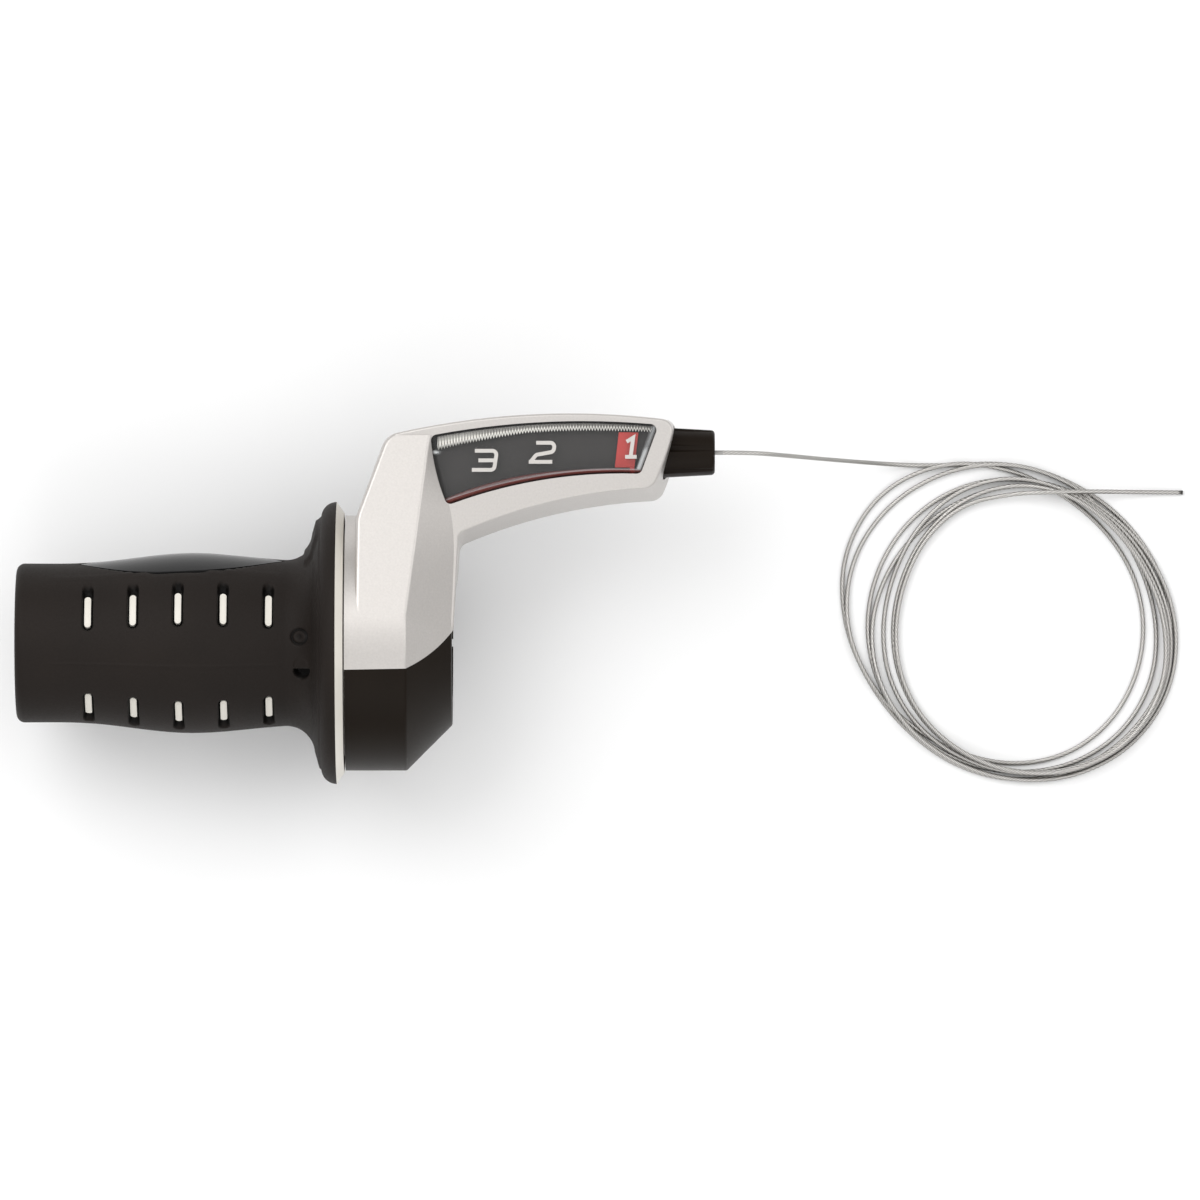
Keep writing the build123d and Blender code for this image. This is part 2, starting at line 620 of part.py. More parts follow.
with BuildPart() as light_strip:
    with BuildSketch(Plane.XY.offset(LENS_BOTTOM - STRIP_DEPTH)):
        with BuildLine():
            comb = Polyline(*strip_teeth)
            crest = ThreePointArc(
                (strip_start, window_top(strip_start) - 0.4),
                (WINDOW_APEX_X, WINDOW_APEX_Y - 0.4),
                (strip_end, window_top(strip_end) - 0.4),
            )
            Line(comb @ 0, crest @ 0)
            Line(comb @ 1, crest @ 1)
        make_face()
    extrude(amount=STRIP_DEPTH)
light_strip.part.label = "light_strip"
export_step(light_strip.part, "parts/light_strip.step")

three = Plane(origin=(MARKER_X - 28.3, ARM_REACH - 9.0, 0))
two = Plane(origin=(MARKER_X - 16.7, ARM_REACH - 7.4, 0))
one = Plane(origin=(MARKER_X + 0.9, ARM_REACH - 6.4, 0))

with BuildPart() as dial_numerals:
    with BuildSketch(three.offset(LENS_BOTTOM - PRINT_DEPTH)):
        with BuildLine():
            FilletPolyline((-1.9, 1.9), (2.5, 1.9), (1.9, -1.9), (-2.5, -1.9), radius=PRINT_CORNER)
        trace(line_width=PRINT_STROKE)
        with BuildLine():
            Line((-1.2, 0), (2.2, 0))
        trace(line_width=PRINT_STROKE)
    extrude(amount=PRINT_DEPTH)
    with BuildSketch(two.offset(LENS_BOTTOM - PRINT_DEPTH)):
        with BuildLine():
            FilletPolyline(
                (-1.3, 1.9),
                (2.5, 1.9),
                (2.1, 0.1),
                (-1.3, -0.5),
                (-2.4, -1.9),
                radius=PRINT_CORNER,
            )
        trace(line_width=PRINT_STROKE)
        with BuildLine():
            Line((-2.4 - PRINT_STROKE / 2, -1.9), (1.9, -1.9))
        trace(line_width=PRINT_STROKE)
    extrude(amount=PRINT_DEPTH)
    with BuildSketch(one.offset(LENS_BOTTOM - PRINT_DEPTH)):
        with BuildLine():
            Polyline((-0.9, 1.1), (0.4, 1.9), (-0.1, -1.9))
        trace(line_width=PRINT_STROKE)
        with BuildLine():
            Line((-1.2, -1.9), (1.1, -1.9))
        trace(line_width=PRINT_STROKE)
    extrude(amount=PRINT_DEPTH)
dial_numerals.part.label = "dial_numerals"
export_step(dial_numerals.part, "parts/dial_numerals.step")

with BuildSketch() as dial_room:
    offset(cavity_plan.sketch.faces(), amount=-SEAT_GAP)
    with Locations((ARM_LENGTH - END_WALL - SEAT_GAP + CUT / 2, ARM_REACH)):
        Rectangle(CUT, CUT, mode=Mode.SUBTRACT)

with BuildPart() as dial_plate:
    with BuildSketch(Plane.XY.offset(DIAL_FLOOR)):
        offset(window_plan.sketch_local.faces(), amount=DIAL_MARGIN)
        add(dial_room.sketch_local, mode=Mode.INTERSECT)
    extrude(amount=DIAL_DEPTH)
    with BuildSketch(Plane.XY.offset(DIAL_TOP)):
        with Locations(
            (ARM_LENGTH - 4.3, ARM_REACH - 7.6),
            (17.5, ARM_REACH - 15.0),
            (ARM_LENGTH - 12.6, ARM_REACH - 13.0),
            (WINDOW_LEFT - 0.7, ARM_REACH - 10.0),
        ):
            Circle(0.7)
    extrude(amount=CAVITY_TOP - DIAL_TOP)
dial_plate.part.label = "dial_plate"
export_step(dial_plate.part, "parts/dial_plate.step")

lug_x = MARKER_X + (MARKER_WIDTH - MARKER_SLANT - LUG_WIDTH) / 2
with BuildPart() as indicator_marker:
    with BuildSketch(Plane.XY.offset(MARKER_TOP - MARKER_DEPTH)):
        with BuildLine():
            Polyline(
                (MARKER_X - MARKER_WIDTH / 2 - MARKER_SLANT, MARKER_Y - MARKER_HEIGHT),
                (MARKER_X + MARKER_WIDTH / 2 - MARKER_SLANT, MARKER_Y - MARKER_HEIGHT),
                (MARKER_X + MARKER_WIDTH / 2 + MARKER_SLANT, MARKER_Y + MARKER_HEIGHT),
                (MARKER_X - MARKER_WIDTH / 2 + MARKER_SLANT, MARKER_Y + MARKER_HEIGHT),
                close=True,
            )
        make_face()
        with Locations((TRACK_X, TRACK_Y)):
            Circle(TRACK_R + MARKER_HEIGHT / 2, mode=Mode.INTERSECT)
            Circle(TRACK_R - MARKER_HEIGHT / 2, mode=Mode.SUBTRACT)
        with Locations((lug_x, TRACK_Y + LINE_TRACK_R)):
            Rectangle(LUG_WIDTH, 2 * LINE_DIAMETER)
    extrude(amount=MARKER_DEPTH)
indicator_marker.part.label = "indicator_marker"
export_step(indicator_marker.part, "parts/indicator_marker.step")

with BuildPart() as indicator_line:
    with BuildLine() as line_path:
        line_start = degrees(asin((TRACK_X - lug_x + LUG_WIDTH / 2 + SEAT_GAP) / LINE_TRACK_R))
        CenterArc((TRACK_X, TRACK_Y, LINE_Z), LINE_TRACK_R, 90 + line_start, line_leave - line_start)
        CenterArc((dip_x, dip_y, LINE_Z), LINE_DIP_R, 90 + line_leave, LINE_DIP - line_leave)
        FilletPolyline(line_gate, line_corner, line_touch, radius=LINE_BEND)
    with BuildSketch(Plane(origin=line_path.line @ 0, z_dir=line_path.line % 0)):
        Circle(LINE_DIAMETER / 2)
    sweep(path=line_path.line)
indicator_line.part.label = "indicator_line"
export_step(indicator_line.part, "parts/indicator_line.step")

# Cable inside: from the spool along a tangent, round the guide and out through the adjuster
cable_corner = Vector(CABLE_X, KNOB_Y, KNOB_Z)
cable_reach = sqrt(KNOB_Y**2 + KNOB_Z**2)
cable_angle = atan2(KNOB_Z, KNOB_Y) + acos(CABLE_SPOOL_R / cable_reach)
cable_touch = Vector(CABLE_X, CABLE_SPOOL_R * cos(cable_angle), CABLE_SPOOL_R * sin(cable_angle))
cable_exit = Vector(LEAD_START, KNOB_Y, KNOB_Z)
cable_way = (cable_touch - cable_corner).normalized()

with BuildPart() as cable_run:
    with BuildLine() as run_path:
        FilletPolyline(cable_touch, cable_corner, cable_exit, radius=GUIDE_BEND)
    with BuildSketch(Plane(origin=run_path.line @ 0, z_dir=run_path.line % 0)):
        Circle(CABLE_R)
    sweep(path=run_path.line)
cable_run.part.label = "cable_run"
export_step(cable_run.part, "parts/cable_run.step")

with BuildPart() as cable_guide:
    with BuildLine() as guide_path:
        FilletPolyline(
            cable_corner + cable_way * (GUIDE_BEND + 0.3),
            cable_corner,
            (INSERT_START - 0.4, KNOB_Y, KNOB_Z),
            radius=GUIDE_BEND,
        )
    with BuildSketch(Plane(origin=guide_path.line @ 0, z_dir=guide_path.line % 0)):
        Circle(GUIDE_R)
        Circle(WIRE_HOLE_R, mode=Mode.SUBTRACT)
    sweep(path=guide_path.line)
cable_guide.part.label = "cable_guide"
export_step(cable_guide.part, "parts/cable_guide.step")

# Barrel adjuster with its insert, spring and casing seat
with BuildPart() as adjuster_insert:
    with BuildSketch(knob_plane.offset(INSERT_START)):
        Circle(INSERT_R)
        Circle(THREAD_R + JOURNAL_FIT, mode=Mode.SUBTRACT)
    extrude(amount=INSERT_LENGTH)
adjuster_insert.part.label = "adjuster_insert"
export_step(adjuster_insert.part, "parts/adjuster_insert.step")

with BuildPart() as adjuster_knob:
    with BuildSketch(knob_plane.offset(KNOB_START)):
        Circle(KNOB_R)
    with BuildSketch(knob_plane.offset(KNOB_END)):
        Circle(KNOB_END_R)
    loft()
    fillet(adjuster_knob.edges().sort_by(Axis.X)[-1], 0.8)
    with BuildSketch(knob_plane.offset(KNOB_START - 1)):
        with PolarLocations(KNOB_R + 0.1, FLUTES, 20):
            Circle(FLUTE_R)
    extrude(amount=KNOB_LENGTH + 2, mode=Mode.SUBTRACT)
    with BuildSketch(knob_plane.offset(KNOB_START)):
        Circle(SPRING_POCKET_R)
    extrude(amount=SPRING_DEPTH, mode=Mode.SUBTRACT)
    with BuildSketch(knob_plane.offset(KNOB_START - THREAD_LENGTH + 1)):
        Circle(THREAD_R)
    extrude(amount=THREAD_LENGTH - 1 + SPRING_DEPTH)
    with BuildSketch(knob_plane.offset(KNOB_END)):
        Circle(SOCKET_R)
    extrude(amount=-SOCKET_DEPTH, mode=Mode.SUBTRACT)
    with BuildSketch(knob_plane.offset(KNOB_START - THREAD_LENGTH)):
        Circle(WIRE_HOLE_R + 0.1)
    extrude(amount=THREAD_LENGTH + KNOB_LENGTH, mode=Mode.SUBTRACT)
adjuster_knob.part.label = "adjuster_knob"
export_step(adjuster_knob.part, "parts/adjuster_knob.step")

with BuildPart() as adjuster_seat:
    with BuildSketch(knob_plane.offset(KNOB_END - SOCKET_DEPTH + 0.1)):
        Circle(SOCKET_R - RUN_GAP)
        Circle(WIRE_HOLE_R, mode=Mode.SUBTRACT)
    extrude(amount=1.6)
adjuster_seat.part.label = "adjuster_seat"
export_step(adjuster_seat.part, "parts/adjuster_seat.step")

spring_start = KNOB_FACE + SPRING_WIRE / 2
spring_end = KNOB_START + SPRING_DEPTH - SPRING_WIRE / 2
with BuildPart() as adjuster_spring:
    with BuildLine() as coil_path:
        Helix(
            pitch=(spring_end - spring_start) / SPRING_TURNS,
            height=spring_end - spring_start,
            radius=SPRING_R,
            center=(spring_start, KNOB_Y, KNOB_Z),
            direction=(1, 0, 0),
        )
    with BuildSketch(Plane(origin=coil_path.line @ 0, z_dir=coil_path.line % 0)):
        Circle(SPRING_WIRE / 2)
    sweep(path=coil_path.line, is_frenet=True)
adjuster_spring.part.label = "adjuster_spring"
export_step(adjuster_spring.part, "parts/adjuster_spring.step")

# Rubber grip: a swelling barrel that flares into the flange
with BuildPart() as grip_form:
    with BuildSketch():
        with BuildLine():
            barrel = grip_curve(0)
            flare = ThreePointArc(
                barrel @ 1,
                (RING_START - 6.6, GRIP_NECK_R + 1.2),
                (RING_START - 4.4, GRIP_NECK_R + 5.2),
            )
            cheek = Line(flare @ 1, (RING_START - 3.5, FLANGE_R - 3.2))
            step_out = Line(cheek @ 1, (RING_START - 3.1, FLANGE_R - 2.8))
            rim = ThreePointArc(step_out @ 1, (RING_START - 2.0, FLANGE_R - 0.7), (RING_START, FLANGE_R))
            nose = ThreePointArc(
                (GRIP_END, GRIP_END_R - 1.6),
                (GRIP_END + 0.45, GRIP_END_R - 0.45),
                barrel @ 0,
            )
            Polyline(nose @ 0, (GRIP_END, TUBE_R), (RING_START, TUBE_R), rim @ 1)
        make_face()
    revolve(axis=Axis.X)

with BuildPart() as under_inlay:
    with BuildSketch():
        with BuildLine():
            floor_line = grip_curve(INLAY_DEPTH)
            Polyline(floor_line @ 1, ((floor_line @ 1).X, 0), ((floor_line @ 0).X, 0), floor_line @ 0)
        make_face()
    revolve(axis=Axis.X)

with BuildPart() as grip_inlay:
    with BuildSketch(row_plane(INLAY_ANGLE, SLOT_MID + 0.4)):
        with BuildLine():
            ThreePointArc((-INLAY_LENGTH / 2, 0), (0, INLAY_WIDTH / 2), (INLAY_LENGTH / 2, 0))
            ThreePointArc((-INLAY_LENGTH / 2, 0), (0, -INLAY_WIDTH / 2), (INLAY_LENGTH / 2, 0))
        make_face()
    extrude(amount=FLANGE_R)
    add(grip_form.part, mode=Mode.INTERSECT)
    add(under_inlay.part, mode=Mode.SUBTRACT)
grip_inlay.part.label = "grip_inlay"
export_step(grip_inlay.part, "parts/grip_inlay.step")

with BuildPart() as rubber_grip:
    add(grip_form.part)
    add(grip_inlay.part, mode=Mode.SUBTRACT)
    for angle in SLOT_ROWS:
        with BuildSketch(row_plane(angle, SLOT_MID)):
            with GridLocations(SLOT_PITCH, 1, SLOT_COUNT, 1):
                SlotOverall(SLOT_LENGTH, SLOT_WIDTH, rotation=90)
        extrude(amount=FLANGE_R, mode=Mode.SUBTRACT)
    with BuildSketch(row_plane(-20, RING_START - 7.0).offset(GRIP_NECK_R - 1.4)):
        Triangle(a=3.6, b=3.0, c=2.6, rotation=180)
    extrude(amount=6, mode=Mode.SUBTRACT)
rubber_grip.part.label = "rubber_grip"
export_step(rubber_grip.part, "parts/rubber_grip.step")

# Cream tube: barrel, bars that fill the slots, flange ring, spool and nose
with BuildPart() as key_bars:
    for angle in SLOT_ROWS:
        with BuildSketch(row_plane(angle, SLOT_MID)):
            with GridLocations(SLOT_PITCH, 1, SLOT_COUNT, 1):
                SlotOverall(BAR_LENGTH, BAR_WIDTH, rotation=90)
        extrude(amount=FLANGE_R)
    with BuildSketch():
        with BuildLine():
            bar_line = grip_curve(BAR_SINK)
            Polyline(
                bar_line @ 1,
                ((bar_line @ 1).X, TUBE_R - 0.5),
                ((bar_line @ 0).X, TUBE_R - 0.5),
                bar_line @ 0,
            )
        make_face()
    revolve(axis=Axis.X, mode=Mode.INTERSECT)

cable_floor = CABLE_SPOOL_R - CABLE_R - RUN_GAP
line_floor = LINE_SPOOL_R - LINE_DIAMETER / 2 - RUN_GAP
head_turn = radians(HEAD_ANGLE)
head_place = Vector(CABLE_X, CABLE_SPOOL_R * cos(head_turn), CABLE_SPOOL_R * sin(head_turn))
head_plane = Plane(origin=head_place, z_dir=(0, -sin(head_turn), cos(head_turn)))

with BuildPart() as grip_tube:
    with BuildSketch():
        with BuildLine():
            Polyline(
                (GRIP_END + 0.4, TUBE_BORE_R),
                (GRIP_END + 0.4, TUBE_R),
                (RING_START, TUBE_R),
                (RING_START, FLANGE_R),
                (RING_END, FLANGE_R - RING_TAPER),
                (RING_END, SPACER_R),
                (DETENT_START, SPACER_R),
                (DETENT_START, DETENT_R),
                (DETENT_START + DETENT_WIDTH, DETENT_R),
                (DETENT_START + DETENT_WIDTH, RIM_R),
                (LINE_GROOVE_START, RIM_R),
                (LINE_GROOVE_START, line_floor),
                (LINE_GROOVE_START + GROOVE_WIDTH, line_floor),
                (LINE_GROOVE_START + GROOVE_WIDTH, RIM_R),
                (CABLE_GROOVE_START, RIM_R),
                (CABLE_GROOVE_START, cable_floor),
                (CABLE_GROOVE_START + GROOVE_WIDTH, cable_floor),
                (CABLE_GROOVE_START + GROOVE_WIDTH, CABLE_SPOOL_R + 2.6),
                (SPOOL_END, CABLE_SPOOL_R + 2.6),
                (SPOOL_END, NOSE_R),
                (CLIP_START, NOSE_R),
                (CLIP_START, CLIP_GROOVE_R),
                (CLIP_START + CLIP_THICKNESS, CLIP_GROOVE_R),
                (CLIP_START + CLIP_THICKNESS, NOSE_R),
                (TUBE_END, NOSE_R),
                (TUBE_END, TUBE_BORE_R),
                close=True,
            )
        make_face()
    revolve(axis=Axis.X)
    add(key_bars.part)
    with BuildSketch(Plane.YZ.offset(DETENT_START)):
        with PolarLocations(DETENT_R - DETENT_DEPTH, CLICKS + 1, 270 - GRIP_TWIST, GRIP_TWIST, endpoint=True):
            Polygon((0, 0), (DETENT_DEPTH + 0.3, 1.8), (DETENT_DEPTH + 0.3, -1.8), align=None)
    extrude(amount=DETENT_WIDTH, mode=Mode.SUBTRACT)
    with BuildSketch(head_plane):
        Circle(HEAD_R + SEAT_GAP / 2)
    extrude(amount=CHAMBER_R, mode=Mode.SUBTRACT)
grip_tube.part.label = "grip_tube"
export_step(grip_tube.part, "parts/grip_tube.step")

with BuildPart() as cable_head:
    with BuildSketch(head_plane):
        Circle(HEAD_R)
    extrude(amount=HEAD_LENGTH)
cable_head.part.label = "cable_head"
export_step(cable_head.part, "parts/cable_head.step")

wrap_way = (0, -sin(cable_angle), cos(cable_angle))
with BuildPart() as cable_wrap:
    with BuildSketch(Plane(origin=cable_touch, x_dir=(1, 0, 0), z_dir=wrap_way)):
        Circle(CABLE_R)
    revolve(axis=Axis.X, revolution_arc=HEAD_ANGLE - degrees(cable_angle))
cable_wrap.part.label = "cable_wrap"
export_step(cable_wrap.part, "parts/cable_wrap.step")

with BuildPart() as retaining_clip:
    with BuildSketch(Plane.YZ.offset(CLIP_START + 0.05)):
        Circle(CLIP_R)
        Circle(CLIP_GROOVE_R + 0.05, mode=Mode.SUBTRACT)
        with Locations((CLIP_R / 2, CLIP_R / 2)):
            Rectangle(CLIP_R * 0.9, CLIP_R * 2, rotation=-45, mode=Mode.SUBTRACT)
    extrude(amount=CLIP_THICKNESS - 0.1)
retaining_clip.part.label = "retaining_clip"
export_step(retaining_clip.part, "parts/retaining_clip.step")

# Detent leaf: its nose rests in the lowest notch of the spool, its ends on the chamber's wall
leaf_end = (0.66 * CHAMBER_R, -0.722 * CHAMBER_R)
with BuildPart() as detent_spring:
    with BuildSketch(Plane.YZ.offset(DETENT_START + 0.3)):
        with BuildLine():
            Polyline(
                (-leaf_end[0], leaf_end[1]),
                (-2.2, -DETENT_R - 0.95),
                (0, -DETENT_R + 0.3),
                (2.2, -DETENT_R - 0.95),
                leaf_end,
            )
        trace(line_width=LEAF)
    extrude(amount=DETENT_WIDTH - 0.6)
detent_spring.part.label = "detent_spring"
export_step(detent_spring.part, "parts/detent_spring.step")

# Free cable: the lead from the adjuster, the coil's outer shape, and the tail with its cut end
lead_points = [
    (LEAD_START, KNOB_Y, KNOB_Z),
    (LEAD_START + 6, KNOB_Y, KNOB_Z),
    (LEAD_START + 13, KNOB_Y - 0.6, KNOB_Z - 3.7),
    (LEAD_START + 21, KNOB_Y - 1.2, FLOOR_Z + 18),
    (LEAD_START + 29, KNOB_Y - 1.7, FLOOR_Z + 5),
    (LEAD_START + 37, KNOB_Y - 2.2, FLOOR_Z + CABLE_R),
    (LEAD_START + 45, KNOB_Y - 2.3, FLOOR_Z + CABLE_R),
    (COIL_X, KNOB_Y - 1.6, FLOOR_Z + CABLE_R),
]
lead_radii = bend_radii(lead_points)
print("cable lead radii", [round(radius, 1) for radius in lead_radii])
with BuildPart() as cable_lead:
    with BuildLine() as lead_path:
        FilletPolyline(*lead_points, radius=lead_radii)
    with BuildSketch(Plane(origin=lead_path.line @ 0, z_dir=lead_path.line % 0)):
        Circle(CABLE_R)
    sweep(path=lead_path.line)
cable_lead.part.label = "cable_lead"
export_step(cable_lead.part, "parts/cable_lead.step")

with BuildPart() as cable_coil:
    with BuildSketch(Plane.XY.offset(FLOOR_Z)):
        with Locations((COIL_X, COIL_Y)):
            Ellipse(COIL_HALF_X, COIL_HALF_Y)
        with Locations((COIL_X + 1.3, COIL_Y - 0.7)):
            Ellipse(COIL_HOLE_X, COIL_HOLE_Y, mode=Mode.SUBTRACT)
    extrude(amount=COIL_HEIGHT)
cable_coil.part.label = "cable_coil"
export_step(cable_coil.part, "parts/cable_coil.step")

tail_points = [
    (COIL_X + 5.8, COIL_Y + 26.6, FLOOR_Z + 3.2),
    (COIL_X + 14.3, COIL_Y + 26.8, FLOOR_Z + 3.3),
    (COIL_X + 23.3, COIL_Y + 26.7, FLOOR_Z + 1.1),
    (COIL_X + 34.4, COIL_Y + 26.6, FLOOR_Z + CABLE_R),
]
tail_radii = bend_radii(tail_points)
print("cable tail radii", [round(radius, 1) for radius in tail_radii])
with BuildPart() as cable_tail:
    with BuildLine() as tail_path:
        FilletPolyline(*tail_points, radius=tail_radii)
    with BuildSketch(Plane(origin=tail_path.line @ 0, z_dir=tail_path.line % 0)):
        Circle(CABLE_R)
    sweep(path=tail_path.line)
cable_tail.part.label = "cable_tail"
export_step(cable_tail.part, "parts/cable_tail.step")
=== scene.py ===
# %% [markdown]
# # A twist grip shifter, dressed around its CAD frame
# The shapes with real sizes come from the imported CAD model, which is loaded as a fixed frame.
# This lesson adds what CAD leaves plain: the coiled cable, the soft rubber grip, the window and every finish.
# Pieces could be sculpted by hand, but formulas on numpy grids are exact and easy to change, so each new
# piece here is a surface worked out from two parameters. Lengths are in millimetres until a mesh is made.

# %% Load the frame
import bpy
import numpy as np
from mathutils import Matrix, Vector


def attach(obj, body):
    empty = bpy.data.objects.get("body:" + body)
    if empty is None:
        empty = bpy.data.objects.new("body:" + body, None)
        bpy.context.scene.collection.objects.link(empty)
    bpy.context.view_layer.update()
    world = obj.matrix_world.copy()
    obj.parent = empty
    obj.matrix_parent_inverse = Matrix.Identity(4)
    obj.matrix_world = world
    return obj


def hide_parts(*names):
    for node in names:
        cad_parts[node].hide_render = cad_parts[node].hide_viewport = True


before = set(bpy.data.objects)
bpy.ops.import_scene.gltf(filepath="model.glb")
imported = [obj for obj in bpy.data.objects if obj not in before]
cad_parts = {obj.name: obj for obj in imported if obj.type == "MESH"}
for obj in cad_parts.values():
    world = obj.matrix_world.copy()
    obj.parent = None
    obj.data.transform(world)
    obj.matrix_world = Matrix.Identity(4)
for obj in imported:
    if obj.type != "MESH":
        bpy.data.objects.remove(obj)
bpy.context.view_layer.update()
MM = 0.001

# %% [markdown]
# ## Camera
# The photograph looks straight down, with the handlebar running left to right.
# A short lens would show the sides of the tall housing, so the camera stands far away with a
# long lens. The picture is 240 mm wide at the height of the bar's axis.

# %% Camera
CAMERA_DISTANCE = 3.0
FRAME_WIDTH = 0.240
SENSOR = 36.0
VIEW_CENTRE = (0.0295, 0.0086)

camera_data = bpy.data.cameras.new("camera")
camera_data.sensor_width = SENSOR
camera_data.lens = SENSOR * CAMERA_DISTANCE / FRAME_WIDTH
camera_data.clip_end = 30.0
camera = bpy.data.objects.new("camera", camera_data)
camera.location = (*VIEW_CENTRE, CAMERA_DISTANCE)
bpy.context.scene.collection.objects.link(camera)
bpy.context.scene.camera = camera
print("lens", camera_data.lens, "mm")

# %% [markdown]
# ## Small helpers
# A grid of points becomes a mesh of quads: rows run along one parameter, columns along the other.
# Wrapping a direction closes the surface there, and caps close the two ends of a wrapped one.
# foreach_set would do as well as from_pydata, but from_pydata also works out the edges.


# %% Mesh helpers
def grid_mesh(name, points, wrap_rows=False, wrap_columns=False):
    """An object from an array of rows x columns x 3 points in metres: quad (i, j) joins the points
    (i, j), (i, j+1), (i+1, j+1) and (i+1, j), and a wrapped direction joins its end to its start."""
    rows, columns = points.shape[:2]
    i = np.arange(rows if wrap_rows else rows - 1)[:, None]
    j = np.arange(columns if wrap_columns else columns - 1)[None, :]
    below, beside = (i + 1) % rows, (j + 1) % columns
    corners = [i * columns + j, i * columns + beside, below * columns + beside, below * columns + j]
    quads = np.stack(corners, axis=-1)
    mesh = bpy.data.meshes.new(name)
    mesh.from_pydata(points.reshape(-1, 3), [], quads.reshape(-1, 4))
    mesh.shade_smooth()
    piece = bpy.data.objects.new(name, mesh)
    bpy.context.scene.collection.objects.link(piece)
    return piece


def capped(points):
    """The same rows between two rows of one repeated point, the mean of the end row beside it. With its
    columns wrapped, the surface is then closed."""
    ends = points[[0, -1]].mean(axis=1, keepdims=True).repeat(points.shape[1], axis=1)
    return np.concatenate([ends[:1], points, ends[1:]])


def keep_value(piece, name, values):
    """Stores one number for each point of a piece, for its material to read."""
    layer = piece.data.attributes.new(name, "FLOAT", "POINT")
    layer.data.foreach_set("value", np.ascontiguousarray(values).ravel())


# %% Number helpers
def smooth_step(low, high, value):
    """0 below low, 1 above high, and 3t^2 - 2t^3 in between."""
    t = np.clip((value - low) / (high - low), 0.0, 1.0)
    return t * t * (3.0 - 2.0 * t)


def run_along(line):
    """Length along a line at each of its points."""
    return np.append(0, np.cumsum(np.linalg.norm(np.diff(line, axis=0), axis=1)))


# %% [markdown]
# ## The cable's route
# The inner cable leaves the barrel adjuster, falls to the surface and lies there in seven loose
# turns, with its cut end lying over the coil. Each turn is a circle that is pushed off its centre and
# squeezed: its radius is a mean plus three waves round the circle. The rows of SPREAD are the mean and then
# the cosine and sine sizes of the three waves, and its columns are the places where a turn begins. The waves
# change slowly from turn to turn, so the turns fan out and cross as springy wire does.

# %% Route of the coil
CABLE = 0.9
FLOOR = -28.2
COIL_CENTRE = np.array([112.9, 3.55])
TURNS = 7
STEPS = 16
SPREAD = np.array([
    [33.1, 29.8, 30.0, 30.6, 29.6, 28.8, 28.0, 27.0],
    [0.2, -4.4, -2.6, 2.2, 2.0, 2.6, 3.6, 2.6],
    [-1.2, 2.2, 2.2, -1.6, -1.8, -0.6, -1.2, -2.8],
    [0.6, 0.0, 0.3, -0.1, 0.6, -0.7, -0.8, -0.7],
    [-1.1, -2.8, -1.2, -0.9, -0.3, -1.2, -0.8, -2.0],
    [0.0, 0.4, -0.5, 0.3, -0.4, 0.3, -0.1, 0.3],
    [-0.2, 1.1, -0.4, -0.3, -0.8, -0.8, -0.6, -1.1],
])


def coil_line(turn):
    """Plan of the coil in mm at a turn number from 0 to 7, clockwise from the top:
    radius = mean + a1 cos(t) + b1 sin(t) + a2 cos(2t) + b2 sin(2t) + a3 cos(3t) + b3 sin(3t)."""
    angle = np.pi / 2 - 2 * np.pi * turn
    waves = [np.ones_like(angle)]
    for order in (1, 2, 3):
        waves += [np.cos(order * angle), np.sin(order * angle)]
    share = [np.interp(turn, np.arange(TURNS + 1), row) for row in SPREAD]
    radius = sum(wave * size for wave, size in zip(waves, share))
    return COIL_CENTRE + radius[..., None] * np.stack([np.cos(angle), np.sin(angle)], axis=-1)


# %% [markdown]
# The route is one NURBS spline of order three. Its middle line could be worked out with the spline's own
# formula, but Blender already does that, so the line is read back from a curve object that isn't kept.


# %% Line of a spline
def bare_line(points, resolution):
    """Points along the NURBS curve that has these control points, as Blender works them out."""
    curve = bpy.data.curves.new("route", "CURVE")
    curve.dimensions = "3D"
    curve.resolution_u = resolution
    spline = curve.splines.new("NURBS")
    spline.points.add(len(points) - 1)
    spline.points.foreach_set("co", np.column_stack([points, np.ones(len(points))]).ravel())
    spline.order_u = 3
    spline.use_endpoint_u = True
    bare = bpy.data.objects.new("route", curve)
    mesh = bpy.data.meshes.new_from_object(bare)
    line = np.zeros(len(mesh.vertices) * 3, np.float32)
    mesh.vertices.foreach_get("co", line)
    bpy.data.meshes.remove(mesh)
    bpy.data.curves.remove(curve)
    return line.reshape(-1, 3).astype(float)


# %% [markdown]
# Real wire can't pass through itself. A rigid-body simulation could lay it, but not in the order that the
# photograph shows. So the turns are laid one after the other: a point of a later turn lies as high as the
# wires below it need, and a running maximum and a running mean then make its rise long and low. The lead
# lies lowest and the cut end on top. Points that are near each other only because they follow each other
# along the wire, fewer than APART steps away, don't count as a crossing. Of the lead, only what lies lower
# than ON_GROUND counts.

# %% Heights of the turns
SLOPE = 0.22
APART = 24
CLEARANCE = 0.06
SOFTEN = np.array([1, 2, 3, 4, 3, 2, 1]) / 16
ON_GROUND = 1.5 * CABLE


